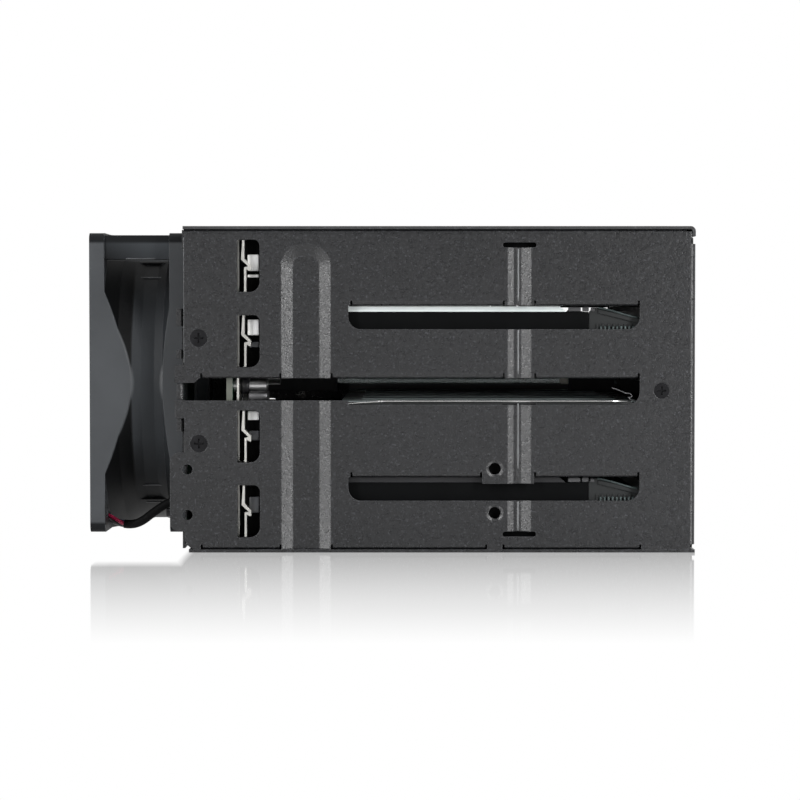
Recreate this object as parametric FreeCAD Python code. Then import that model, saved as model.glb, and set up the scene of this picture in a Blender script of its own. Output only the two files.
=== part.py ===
"""Hot swap drive cage: four 3.5 inch trays in three 5.25 inch bays, with a 120 x 38 mm fan.

Millimetres, +Z up. +X is the side where the trays open, -X the fan, and the origin is at the
bottom centre of the whole object. Places along the cage are given as u, the distance forward
from the rear edge of the side plates, and at() turns u into X.
"""
import FreeCAD, Part
import math
import os

# ---- driving dimensions: the sheet metal cage ----
CAGE_LENGTH = 202.0
CAGE_WIDTH = 146.0
SHEET = 1.2               # side plates, cover, bottom and deck
BEND = 2.0                # outer radius of every bend
RELIEF = 0.8              # width of the nick at each end of a bend
FIT = 0.2                 # gap between flat neighbours that are assembled by hand
SCREW_GAP = 0.1           # radial gap between a screw and its hole
HALF = CAGE_WIDTH / 2
INNER = HALF - SHEET

# bays and shelves
BAY_PITCH = 28.65
MIDDLE_GAP = 10.5         # air channel between the second and the third bay
SHELF_REACH = 10.0
REAR_SHELF_REACH = 4.0
FLOORS = [
    2 * SHEET,
    2 * SHEET + BAY_PITCH,
    2 * SHEET + 2 * BAY_PITCH + MIDDLE_GAP,
    2 * SHEET + 3 * BAY_PITCH + MIDDLE_GAP,
]
TOP_GAP = 0.3             # between the fourth bay and the cover
CAGE_HEIGHT = FLOORS[3] + BAY_PITCH + TOP_GAP + SHEET
COVER_Z = CAGE_HEIGHT - SHEET
DECK_TOP = FLOORS[2] - MIDDLE_GAP + BEND / 10

# long side slots under the shelves
SLOT_REAR = 64.9
FAR_SLOT_REAR = 60.5
SLOT_FRONT = CAGE_LENGTH - 22.0
SLOT_DROP = 10.5
SLOT_RADIUS = 5.0
MIDDLE_SLOT_DROP = 11.7
MIDDLE_SLOT_REAR_DROP = 10.0
MIDDLE_SLOT_NECK = 1.8    # the slot is lower where it leaves through the rear edge
HANG_REAR = 117.8         # flat tab left hanging in the lowest slot
HANG_FRONT = 138.3
HANG_DROP = 3.8

# windows for the hooks of the backplane bracket
WINDOW_REAR = 21.0
WINDOW_FRONT = 29.9
WINDOW_RISES = [3.6, 4.55, 3.1, 4.15]
WINDOW_LOWS = [floor + rise for floor, rise in zip(FLOORS, WINDOW_RISES)]
WINDOW_MARGIN = 7.95      # each window is this much lower than a bay
WINDOW_HEIGHT = BAY_PITCH - WINDOW_MARGIN
WINDOW_TOP_RADIUS = 2.5
WINDOW_LOW_RADIUS = 4.2

# wide pressed bead and narrow lanced bead of the side plates
BEAD_REAR = 38.4
BEAD_FRONT = 57.9
BEAD_TOP = CAGE_HEIGHT - 7.4
BEAD_SLOPE = 4.5
BEAD_DEPTH = 1.6
BEAD_RADIUS = 8.0
RIB_REAR = 127.9
RIB_WIDTH = 9.2
RIB_FRONT = RIB_REAR + RIB_WIDTH
RIB_SLOT_OVERHANG = 2.0
RIB_SLOT_HEIGHT = 2.0
RIB_LOW = 7.3
RIB_HIGH = CAGE_HEIGHT - 7.4
RIB_DEPTH = 1.6

# rear edge of the side plates
TAB_REACH = 3.7
TAB_HEIGHT = 7.0
TAB_RADIUS = 0.8
EAR_REACH = 5.7
EAR_LOW = 8.4
EAR_HIGH = 39.6
EAR_RADIUS = 3.5
REAR_CORNER = 5.0         # rounded lower rear corner
REAR_FLANGE_LENGTH = 30.4
FRONT_RETURN = 3.5        # how far the front edge turns in
LIP_DROP = 4.0            # front lip of the cover
COVER_OVERHANG = 0.4
BOTTOM_SETBACK = 1.7

# screws
SIDE_SCREW_HEAD = 3.45
SIDE_SCREW_CORE = 1.65
SIDE_SCREW_LENGTH = 4.2
SIDE_SCREW_U = 5.8
SIDE_SCREW_HEIGHTS = [FLOORS[1] + 12.15, FLOORS[2] + 14.7]
FRONT_SCREW_U = CAGE_LENGTH - 13.3
FRONT_SCREW_Z = FLOORS[2] - 6.1
FRONT_SCREW_HEAD = 3.1
COVER_SCREW_SETBACK = 26.0
COVER_SCREW_US = [9.0, 100.0, CAGE_LENGTH - COVER_SCREW_SETBACK]
COVER_SCREW_INSET = 5.5
COVER_SCREW_HEAD = 2.9
COVER_SCREW_CORE = 1.45
COVER_SCREW_LENGTH = 4.0
MOUNT_HOLE_U = 122.8
MOUNT_HOLE_RADIUS = 2.3
MOUNT_HOLE_SPACING = 17.5
MOUNT_HOLE_TOP = FLOORS[1] + 2.15
MOUNT_HOLE_HEIGHTS = [MOUNT_HOLE_TOP - MOUNT_HOLE_SPACING, MOUNT_HOLE_TOP]
MOUNT_HOLE_SINK = 3.4
REAR_HOLE_U = 1.2
REAR_HOLE_RADIUS = 2.0
REAR_HOLE_HEIGHTS = [14.9, 32.9]

# fan
FAN_MARGIN = 9.0          # the cage stands this much taller than the fan
FAN_SIZE = CAGE_HEIGHT - FAN_MARGIN
FAN_LIFT = 2.3            # the fan sits this far above the middle of the cage
FAN_CENTRE_Z = CAGE_HEIGHT / 2 + FAN_LIFT
FAN_DEPTH = 38.0
FAN_FLANGE = 6.0
FAN_SKIN = 1.3            # from the barrel out to the square
FAN_WALL = 1.5
FAN_BARREL = FAN_SIZE / 2 - FAN_SKIN
FAN_BORE = FAN_BARREL - FAN_WALL
FAN_FACE_FLARE = 1.6
FAN_REAR_MOUTH = FAN_SIZE / 2 + 10.0
FAN_REAR_MOUTH_LENGTH = 12.0
FAN_FRONT_MOUTH = FAN_SIZE / 2 + 7.0
FAN_FRONT_MOUTH_LENGTH = 4.0
FAN_HOLE_MARGIN = 15.0
FAN_HOLE_SPACING = FAN_SIZE - FAN_HOLE_MARGIN
FAN_HOLE_RADIUS = 2.15
FAN_HOLE_DEPTH = 26.0     # the wider part of each corner hole, from the rear face
FAN_CORNER_RADIUS = 3.0
FAN_RIB = 1.2
POST_SIZE = 9.6
POST_INSET = 0.9
MOTOR_BASE = 4.1
STRUT_DEPTH = 4.6
STRUT_FOOT = 2.4
BEARING_RADIUS = 4.5
BEARING_END = 27.0
HUB_RADIUS = 29.0
HUB_WALL = 2.5
ROTOR_GAP = 1.5
BLADE_COUNT = 7
TIP_GAP = 1.2
SHAFT_RADIUS = 2.0
SHAFT_FIT = 0.05
BLADE_THICKNESS = 1.1
FAN_SCREW_HEAD = 3.6
FAN_SCREW_HEAD_HEIGHT = 2.2
FAN_SCREW_CORE = 1.85
FAN_SCREW_LENGTH = 9.0

# centre line of the fan lead as (u, y, z), from the fan's outlet to its plug
LEAD_ROUTE = [
    (-37.5, -45.0, 13.3),
    (-32.0, -46.5, 12.0),
    (-26.5, -47.5, 9.9),
    (-20.5, -47.5, 10.6),
    (-14.5, -46.8, 14.6),
    (-8.0, -46.2, 18.4),
    (-1.0, -46.0, 19.3),
    (5.0, -46.0, 19.3),
]

# fan panel, backplane and their connectors
PANEL_SHEET = 1.0
PANEL_HOLE = FAN_BORE + 0.3
PANEL_LIPS = [            # low and high end of each lip
    (FLOORS[1] + 16.75, FLOORS[1] + 22.15), (FLOORS[2] - 9.6, FLOORS[2] - 3.3),
    (FLOORS[2] + 6.5, FLOORS[2] + 10.1), (FLOORS[2] + 19.3, FLOORS[2] + 26.3)]
PANEL_TAB_HEIGHT = 8.0
PANEL_TAB_REACH = 7.0
LEAD_RADIUS = 1.7
LEAD_HOLE = 3.2
PLUG_WIDTH = 10.4
PLUG_HEIGHT = 4.8
PLUG_LENGTH = 7.5
BOARD_U = 16.4
BOARD_THICKNESS = 2.4
BOARD_SIDE_GAP = 3.2
BOARD_HALF_WIDTH = INNER - BOARD_SIDE_GAP
VENT_INNER = 27.0
VENT_OUTER = BOARD_HALF_WIDTH - 10.6
HEADER_VENT_OUTER = 37.0  # the vent beside the fan's header is shorter
VENT_RISE = 8.5
VENT_HEIGHT = 15.0
VENT_RADIUS = 2.0
BRACKET_SHEET = 0.8
BRACKET_GAP = 1.8
SOCKET_WIDTH = 43.0
SOCKET_HEIGHT = 6.4
SOCKET_DEPTH = 8.2
SOCKET_RISE = 3.2         # underside of a socket above its bay floor
PORT_WIDTH = 16.6
PORT_DEPTH = 12.0
PORT_THICKNESS = 6.6
PORT_RISES = [9.6, -0.05, 13.8, 4.15]      # above each bay's floor
PORT_Y = INNER - 10.0
INLET_WIDTH = 21.0
INLET_THICKNESS = 8.6
INLET_Y = 1.6 - INNER
INLET_LOWS = [FLOORS[0] + 9.6, FLOORS[3] - 0.85]
INLET_PIN = 1.05
INLET_PITCH = 5.08
CONNECTOR_WALL = 1.2
CONNECTOR_POCKET = 9.0
CAN_RADIUS = 2.8
CAN_LENGTH = 13.1
CAN_FOOT = 2.0
CAN_GROOVE = 0.5
CAN_YS = [8.6 - BOARD_HALF_WIDTH, 18.1 - BOARD_HALF_WIDTH, BOARD_HALF_WIDTH - 18.1]

# trays
TRAY_REAR = 33.0
TRAY_SIDE_GAP = 3.0
TRAY_HALF_WIDTH = INNER - TRAY_SIDE_GAP
TRAY_WALL = 1.2
TRAY_FLOOR = 1.6
TRAY_RUN_GAP = 0.1
TRAY_TOP_GAP = 2.35       # between a tray's wall and the shelf above it
TRAY_HEIGHT = BAY_PITCH - SHEET - TRAY_RUN_GAP - TRAY_TOP_GAP
TRAY_MEMBERS = [(TRAY_REAR, 41.0), (92.0, 100.0), (150.0, 158.0)]
TRAY_HOLE_STARTS = [48.0, 86.0, 124.0]
TRAY_HOLE_LENGTH = 26.0
TRAY_HOLE_INSET = 3.6
DRIVE_HALF_WIDTH = 50.8
DRIVE_CONNECTOR_U = 31.5
DRIVE_HOLES = [28.5, 70.1, 130.1]
DRIVE_HOLE_RISE = 6.35
DRIVE_HOLE_RADIUS = 1.8
DRIVE_RAIL_HEIGHT = 12.0
DRIVE_RAIL = 1.4

# tray fronts
BEZEL_FRONT = CAGE_LENGTH - 0.6
BEZEL_DEPTH = 21.0
BEZEL_REAR = BEZEL_FRONT - BEZEL_DEPTH
TRAY_FLOOR_FRONT = BEZEL_REAR - 0.4
BEZEL_SIDE_GAP = 2.8
BEZEL_HALF_WIDTH = INNER - BEZEL_SIDE_GAP
BEZEL_LOW = -1.0          # the fronts reach below the tray floors
BEZEL_SPLIT = 2.05
BEZEL_HEIGHT = BAY_PITCH - BEZEL_SPLIT
BEZEL_SPACE = 1.2
BEZEL_WALL = 1.8
BEZEL_FRAME = 4.5         # edge left round the air window
ARM_LENGTH = 20.4
TRAY_WALL_FRONT = BEZEL_REAR - ARM_LENGTH
ARM_TOP_GAP = 0.75
ARM_HEIGHT = BAY_PITCH - SHEET - TRAY_RUN_GAP - ARM_TOP_GAP
ARM_RISE = 1.7            # from the tray's wall up to the arm's ridge
ARM_FALL = 4.1            # from the ridge down to the bezel
ARM_RIDGE = 3.8
ARM_WALL = 1.2
ARM_RIB = 0.8
ARM_RIB_PITCH = 2.2
ARM_CATCH = 1.0
BUTTON_Y = BEZEL_HALF_WIDTH - 15.5
BUTTON_WIDTH = 9.0
LEVER_END = BUTTON_Y - BUTTON_WIDTH / 2 - 3.0
LEVER_BARREL = 4.0
LEVER_PIVOT_Y = BEZEL_HALF_WIDTH - 6.4
LEVER_PIVOT_U = BEZEL_FRONT - LEVER_BARREL - 0.1
LEVER_FACE = 2.2
LEVER_GAP = 0.4
LEVER_SLOT_PITCH = 4.0
LEVER_SLOT = 2.2
PIN_RADIUS = 1.25
PIN_FIT = 0.05
BUTTON_HEIGHT = 10.0
BUTTON_DEPTH = 12.0
BUTTON_TRAVEL = 2.0
BUTTON_GAP = 0.3
PIPE_RADIUS = 1.3
PIPE_YS = [TRAY_HALF_WIDTH - 6.8, TRAY_HALF_WIDTH - 3.4]
PIPE_RISE = 15.0
PIPE_POST_US = [44.0, 80.0, 118.0]
PIPE_POST = 3.0
PIPE_GAP = 0.1

# deck and bar between the second and the third bay
DECK_REAR = 62.0
DECK_LIP = 8.0
DECK_RIDGE_INSET = 8.0
DECK_RIDGE_YS = [-48.0, -16.0, 16.0, 48.0]
BAR_FRONT = CAGE_LENGTH - 0.4
BAR_DEPTH = 18.6
BAR_REAR = BAR_FRONT - BAR_DEPTH
GUIDE_WIDTH = 3.0
GUIDE_HEIGHT = 2.6
GUIDE_YS = [INNER - 9.8, INNER - 5.6]
GUIDE_Z = DECK_TOP + 3.4
HOLDER_REAR = (24.0, 57.0)     # black holders round the light guides
HOLDER_FRONT = (BAR_REAR - 21.4, BAR_REAR - 1.0)
HOLDER_WALL = 0.7

# ---- derived values ----
OVERALL = FAN_DEPTH + PANEL_SHEET + CAGE_LENGTH
REAR_X = FAN_DEPTH + PANEL_SHEET - OVERALL / 2
FAN_BACK_U = -PANEL_SHEET - FAN_DEPTH
BRACKET_U = BOARD_U + BOARD_THICKNESS + BRACKET_GAP
FRONT_OPENING = HALF - FRONT_RETURN
PANEL_HALF = INNER - FIT


def at(u):
    """X of a place u millimetres forward of the side plates' rear edge."""
    return REAR_X + u


def vec(x, y, z):
    return FreeCAD.Vector(x, y, z)


# ---- planes: each turns two numbers of an outline into a point ----
def side_plane(y):
    return lambda u, z: vec(at(u), y, z)


def level_plane(z):
    return lambda u, y: vec(at(u), y, z)


def cross_plane(u):
    return lambda y, z: vec(at(u), y, z)


def outline(corners, plane):
    """Closed wire through (a, b, radius) corners, each rounded by its radius."""
    points = [plane(a, b) for a, b, r in corners]
    edges = []
    first = None
    last = None
    for i, (a, b, radius) in enumerate(corners):
        here = points[i]
        before = (points[i - 1] - here).normalize()
        after = (points[(i + 1) % len(points)] - here).normalize()
        if radius > 0:
            half = before.getAngle(after) / 2
            start = here + before * (radius / math.tan(half))
            end = here + after * (radius / math.tan(half))
            inward = (before + after).normalize()
            middle = here + inward * (radius / math.sin(half) - radius)
        else:
            start = here
            end = here
        if last is None:
            first = start
        elif (start - last).Length > 1e-6:
            edges.append(Part.LineSegment(last, start).toShape())
        if radius > 0:
            edges.append(Part.Arc(start, middle, end).toShape())
        last = end
    if (first - last).Length > 1e-6:
        edges.append(Part.LineSegment(last, first).toShape())
    return Part.Wire(edges)


def prism(corners, plane, sweep):
    """Solid of a rounded outline pushed along a vector."""
    return Part.Face(outline(corners, plane)).extrude(sweep)


def block(u0, u1, y0, y1, z0, z1):
    """Box between two places along each direction."""
    return Part.makeBox(u1 - u0, y1 - y0, z1 - z0, vec(at(u0), y0, z0))


def mirrored(shape):
    return shape.mirror(vec(0, 0, 0), vec(0, 1, 0))


def on_side(shape, side):
    """A shape drawn on the -Y side, or its mirror image for side +1."""
    return shape if side < 0 else mirrored(shape)


def rod(radius, start, along):
    """Cylinder from a point along a vector."""
    return Part.makeCylinder(radius, along.Length, start, along)


def bent_edge(corner, wall, reach, run, length, sheet=SHEET, outer=BEND):
    """Bend and flange: corner is the sharp outer corner, wall points back along the sheet."""
    centre = corner + wall * outer + reach * outer
    diagonal = (wall + reach) * (-1 / math.sqrt(2))
    p1 = corner + wall * outer
    p2 = corner + reach * outer
    p3 = corner + reach * length
    p4 = p3 + wall * sheet
    p5 = p2 + wall * sheet
    p6 = p1 + reach * sheet
    edges = [
        Part.Arc(p1, centre + diagonal * outer, p2).toShape(),
        Part.LineSegment(p2, p3).toShape(),
        Part.LineSegment(p3, p4).toShape(),
        Part.LineSegment(p4, p5).toShape(),
        Part.Arc(p5, centre + diagonal * (outer - sheet), p6).toShape(),
        Part.LineSegment(p6, p1).toShape(),
    ]
    return Part.Face(Part.Wire(edges)).extrude(run)


def sunk_screw(start, inward, head, core, length, recess=True):
    """Countersunk cross recess screw whose head face lies at start."""
    cone = Part.makeCone(head, core, SHEET, start, inward)
    screw = cone.fuse(rod(core, start, inward * length))
    if not recess:
        return screw
    across = vec(0, 0, 1) if abs(inward.z) < 0.5 else vec(0, 1, 0)
    other = inward.cross(across)
    for first, second in ((across, other), (other, across)):
        arm = head * 0.55
        thick = head * 0.11
        corner = start - first * arm - second * thick
        face = Part.makePolygon([
            corner,
            corner + first * (2 * arm),
            corner + first * (2 * arm) + second * (2 * thick),
            corner + second * (2 * thick),
            corner,
        ])
        screw = screw.cut(Part.Face(face).extrude(inward * (head * 0.45)))
    return screw


def sunk_hole(start, inward, head, core, depth):
    """Cutter for a countersunk hole, a little wider than its screw."""
    wide = head + SCREW_GAP
    narrow = core + SCREW_GAP
    cone = Part.makeCone(wide, narrow, SHEET, start, inward)
    return cone.fuse(rod(narrow, start - inward, inward * (depth + 1)))


# ---- side plates ----
def shelf_segments(level, near):
    """Stretches of the bent shelf edge: none across a bead."""
    rib_gap = (RIB_REAR - RIB_SLOT_OVERHANG, RIB_FRONT + RIB_SLOT_OVERHANG)
    rear = (SLOT_REAR if near else FAR_SLOT_REAR) + 2 * RELIEF
    front = SLOT_FRONT - RELIEF
    if level == 1:
        return [(rear, HANG_REAR - RELIEF, SHELF_REACH), (HANG_FRONT + RELIEF, front, SHELF_REACH)]
    segments = [(rear, rib_gap[0], SHELF_REACH), (rib_gap[1], front, SHELF_REACH)]
    if level == 2 and near:
        segments[0] = (BEAD_FRONT + RELIEF, rib_gap[0], SHELF_REACH)
        segments.append((BEAD_REAR - RELIEF - REAR_FLANGE_LENGTH, BEAD_REAR - RELIEF,
                         REAR_SHELF_REACH))
    return segments


def bead_solid(grow, face_y, depth):
    """Frustum of the wide bead, grown sideways and starting at face_y."""
    rear, front = BEAD_REAR - grow, BEAD_FRONT + grow
    top = BEAD_TOP + grow
    foot = -BEND
    wires = []
    for inset, y in ((0.0, face_y), (BEAD_SLOPE, face_y + depth)):
        radius = max(BEAD_RADIUS - inset * 0.9, 1.0)
        corners = [
            (rear + inset, foot, 0),
            (front - inset, foot, 0),
            (front - inset, top - inset, radius),
            (rear + inset, top - inset, radius),
        ]
        wires.append(outline(corners, side_plane(y)))
    return Part.makeLoft(wires, True, True)


def rib_profile():
    """Cross section of the narrow bead: two steps in and one long slope out."""
    steps = [
        (RIB_REAR, 0.0),
        (RIB_REAR + 2.3, 0.62 * RIB_DEPTH),
        (RIB_REAR + 3.7, 0.62 * RIB_DEPTH),
        (RIB_REAR + 4.6, RIB_DEPTH),
        (RIB_REAR + 5.3, RIB_DEPTH),
        (RIB_FRONT, 0.0),
    ]
    outer = [(u, -HALF + d, 0) for u, d in steps]
    inner = [(u, -INNER + d, 0) for u, d in reversed(steps)]
    return outer + inner


def plate_outline():
    """Flat outline of the near side plate, with tabs and ear at the rear edge."""
    low = SHEET
    tabs_low = FLOORS[2] - MIDDLE_SLOT_REAR_DROP - TAB_HEIGHT
    tabs_high = FLOORS[2] - SHEET - MIDDLE_SLOT_NECK + TAB_HEIGHT
    notch_u = CAGE_LENGTH - SHEET - 2 * FIT
    notch_z = CAGE_HEIGHT - LIP_DROP - 1.0
    return [
        (0, low, REAR_CORNER), (CAGE_LENGTH - BEND, low, 0), (CAGE_LENGTH - BEND, notch_z, 0),
        (notch_u - BEND, notch_z, 0), (notch_u - BEND, COVER_Z - BEND, 0),
        (0, COVER_Z - BEND, 0), (0, tabs_high, 0), (-TAB_REACH, tabs_high, TAB_RADIUS),
        (-TAB_REACH, tabs_low, TAB_RADIUS), (0, tabs_low, 0), (0, EAR_HIGH, 0),
        (-EAR_REACH, EAR_HIGH, EAR_RADIUS), (-EAR_REACH, EAR_LOW, EAR_RADIUS),
        (0, EAR_LOW, 0),
    ]


def side_plate(near):
    """A side plate drawn on the -Y side. Only the near one has the channel to the rear edge."""
    thick = vec(0, SHEET, 0)
    face = side_plane(-HALF)
    plate = prism(plate_outline(), face, thick)

    # both beads take the place of flat sheet
    plate = plate.fuse(bead_solid(BEND / 4, -INNER - 0.01, BEAD_DEPTH + 0.01)
                       .common(block(0, CAGE_LENGTH, -HALF, 0, SHEET, CAGE_HEIGHT)))
    plate = plate.cut(bead_solid(0.0, -HALF, BEAD_DEPTH))
    plate = plate.cut(block(RIB_REAR, RIB_FRONT, -HALF, -INNER, RIB_LOW, RIB_HIGH))
    plate = plate.fuse(prism(rib_profile(), level_plane(RIB_LOW), vec(0, 0, RIB_HIGH - RIB_LOW)))

    # openings
    cutters = []
    reach = vec(0, 4 * SHEET, 0)
    outside = side_plane(-HALF - SHEET)
    for low in WINDOW_LOWS:
        cutters.append(prism([
            (WINDOW_REAR, low, 0.4), (WINDOW_FRONT, low, WINDOW_LOW_RADIUS),
            (WINDOW_FRONT, low + WINDOW_HEIGHT, WINDOW_TOP_RADIUS),
            (WINDOW_REAR, low + WINDOW_HEIGHT, 0.4)], outside, reach))
    slot_rear = SLOT_REAR if near else FAR_SLOT_REAR
    for level in (1, 3) if near else (1, 2, 3):
        slot = prism([
            (slot_rear, FLOORS[level] - SLOT_DROP, SLOT_RADIUS),
            (SLOT_FRONT, FLOORS[level] - SLOT_DROP, SLOT_RADIUS),
            (SLOT_FRONT, FLOORS[level] - SHEET, 0),
            (slot_rear, FLOORS[level] - SHEET, 0)], outside, reach)
        if level == 1:
            slot = slot.cut(block(HANG_REAR, HANG_FRONT, -HALF - 4 * SHEET, 0,
                                  FLOORS[level] - HANG_DROP, FLOORS[level]))
        cutters.append(slot)
    middle_top = FLOORS[2] - SHEET
    neck_top = middle_top - MIDDLE_SLOT_NECK
    if near:
        cutters.append(prism([
            (-2 * TAB_REACH, FLOORS[2] - MIDDLE_SLOT_REAR_DROP, 0),
            (SLOT_REAR, FLOORS[2] - MIDDLE_SLOT_REAR_DROP, 0),
            (SLOT_REAR, FLOORS[2] - MIDDLE_SLOT_DROP, 0),
            (SLOT_FRONT, FLOORS[2] - MIDDLE_SLOT_DROP, SLOT_RADIUS),
            (SLOT_FRONT, middle_top, 0), (3 * BEND, middle_top, 0), (2 * BEND, neck_top, 0),
            (-2 * TAB_REACH, neck_top, 0)], outside, reach))
    for z in (RIB_LOW, RIB_HIGH):
        cutters.append(prism([
            (RIB_REAR - RIB_SLOT_OVERHANG, z - RIB_SLOT_HEIGHT / 2, 0.9),
            (RIB_FRONT + RIB_SLOT_OVERHANG, z - RIB_SLOT_HEIGHT / 2, 0.9),
            (RIB_FRONT + RIB_SLOT_OVERHANG, z + RIB_SLOT_HEIGHT / 2, 0.9),
            (RIB_REAR - RIB_SLOT_OVERHANG, z + RIB_SLOT_HEIGHT / 2, 0.9)], outside, reach))

    # bent edges: shelves, bottom, top and front
    flanges = []
    inward = vec(0, 1, 0)
    up = vec(0, 0, 1)
    segments = [(u0, u1, reach_in, FLOORS[level]) for level in (1, 2, 3)
                for u0, u1, reach_in in shelf_segments(level, near)]
    for u0, u1 in bottom_segments():
        segments.append((u0, u1, SHELF_REACH, FLOORS[0]))
    for u0, u1, reach_in, floor in segments:
        underside = floor - SHEET
        cutters.append(block(u0 - RELIEF, u1 + RELIEF, -HALF - 1, -INNER + 1,
                             underside - 0.01, underside + BEND))
        flanges.append(bent_edge(vec(at(u0), -HALF, underside), up, inward,
                                 vec(u1 - u0, 0, 0), reach_in))
    top_front = CAGE_LENGTH - SHEET - 2 * FIT - BEND
    flanges.append(bent_edge(vec(at(0), -HALF, COVER_Z), up * -1, inward,
                             vec(top_front, 0, 0), SHELF_REACH))
    front_low = SHEET + BEND
    front_high = CAGE_HEIGHT - LIP_DROP - 1.0 - BEND
    flanges.append(bent_edge(vec(at(CAGE_LENGTH), -HALF, front_low), vec(-1, 0, 0), inward,
                             vec(0, 0, front_high - front_low), FRONT_RETURN))

    # holes
    for z in SIDE_SCREW_HEIGHTS:
        cutters.append(sunk_hole(vec(at(SIDE_SCREW_U), -HALF, z), inward,
                                 SIDE_SCREW_HEAD, SIDE_SCREW_CORE, 3 * SHEET))
    cutters.append(sunk_hole(vec(at(FRONT_SCREW_U), -HALF, FRONT_SCREW_Z), inward,
                             FRONT_SCREW_HEAD, SIDE_SCREW_CORE, 3 * SHEET))
    for z in MOUNT_HOLE_HEIGHTS:
        start = vec(at(MOUNT_HOLE_U), -HALF, z)
        cutters.append(rod(MOUNT_HOLE_RADIUS, start - inward, inward * 4))
        cutters.append(Part.makeCone(MOUNT_HOLE_SINK, MOUNT_HOLE_RADIUS, SHEET / 2,
                                     start, inward))
    for z in REAR_HOLE_HEIGHTS:
        cutters.append(rod(REAR_HOLE_RADIUS, vec(at(REAR_HOLE_U), -HALF - 1, z), inward * 4))
    plate = plate.cut(cutters).fuse(flanges)
    top_holes = [cover_screw_hole(u, -1, True) for u in COVER_SCREW_US]
    low_holes = [cover_screw_hole(u, -1, False) for u in COVER_SCREW_US]
    return plate.cut(top_holes + low_holes).removeSplitter()


def bottom_segments():
    """Stretches of the bottom flange."""
    rib_start = RIB_REAR - RIB_SLOT_OVERHANG
    return [
        (BEAD_REAR - RELIEF - REAR_FLANGE_LENGTH, BEAD_REAR - RELIEF),
        (BEAD_FRONT + RELIEF, rib_start - 6.9),
        (rib_start + RELIEF, SLOT_FRONT),
    ]


# ---- cover, bottom, deck, bar ----
def cover_screw_place(u, side, top):
    z = CAGE_HEIGHT if top else 0.0
    return vec(at(u), side * (HALF - COVER_SCREW_INSET), z), vec(0, 0, -1 if top else 1)


def cover_screw_hole(u, side, top):
    start, inward = cover_screw_place(u, side, top)
    return sunk_hole(start, inward, COVER_SCREW_HEAD, COVER_SCREW_CORE, 3 * SHEET)


def cover_screws(top):
    screws = []
    for u in COVER_SCREW_US:
        for side in (-1, 1):
            start, inward = cover_screw_place(u, side, top)
            length = COVER_SCREW_LENGTH if top else 2 * SHEET - FIT
            screws.append(sunk_screw(start, inward, COVER_SCREW_HEAD, COVER_SCREW_CORE, length))
    return Part.makeCompound(screws)


def top_cover():
    front = CAGE_LENGTH - 0.1
    sheet = block(-COVER_OVERHANG, front - BEND, -HALF, HALF, COVER_Z, CAGE_HEIGHT)
    lip = bent_edge(vec(at(front), -HALF, CAGE_HEIGHT), vec(-1, 0, 0), vec(0, 0, -1),
                    vec(0, CAGE_WIDTH, 0), LIP_DROP)
    cover = sheet.fuse(lip)
    holes = [cover_screw_hole(u, side, True) for u in COVER_SCREW_US for side in (-1, 1)]
    return cover.cut(holes).removeSplitter()


def bottom_plate():
    sheet = block(BOTTOM_SETBACK, CAGE_LENGTH, -HALF, HALF, 0, SHEET)
    holes = [cover_screw_hole(u, side, False) for u in COVER_SCREW_US for side in (-1, 1)]
    return sheet.cut(holes)


def centre_deck():
    """Plate under the air channel: near edge bent down, far edge bent up, four pressed ridges."""
    near = FIT / 4 - INNER
    far = INNER - RIB_DEPTH - FIT
    deck = block(DECK_REAR, SLOT_FRONT, near + BEND, far - BEND, DECK_TOP - SHEET, DECK_TOP)
    rib_gap = (RIB_REAR - RIB_SLOT_OVERHANG - FIT, RIB_FRONT + RIB_SLOT_OVERHANG + FIT)
    for u0, u1 in ((DECK_REAR, rib_gap[0]), (rib_gap[1], SLOT_FRONT)):
        lip = bent_edge(vec(at(u0), near, DECK_TOP), vec(0, 1, 0), vec(0, 0, -1),
                        vec(u1 - u0, 0, 0), DECK_LIP)
        deck = deck.fuse(lip)
    wall = bent_edge(vec(at(DECK_REAR), far, DECK_TOP - SHEET), vec(0, -1, 0), vec(0, 0, 1),
                     vec(SLOT_FRONT - DECK_REAR, 0, 0), FLOORS[2] - DECK_TOP - 2 * FIT)
    ridges = []
    length = SLOT_FRONT - DECK_REAR - 2 * DECK_RIDGE_INSET
    for y in DECK_RIDGE_YS:
        bar = rod(BEND, vec(at(DECK_REAR + DECK_RIDGE_INSET), y, DECK_TOP - SHEET),
                  vec(length, 0, 0))
        ridges.append(bar.common(block(DECK_REAR, SLOT_FRONT, -HALF, HALF,
                                       DECK_TOP - SHEET, DECK_TOP + BEND)))
    return deck.fuse([wall] + ridges).removeSplitter()


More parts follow.
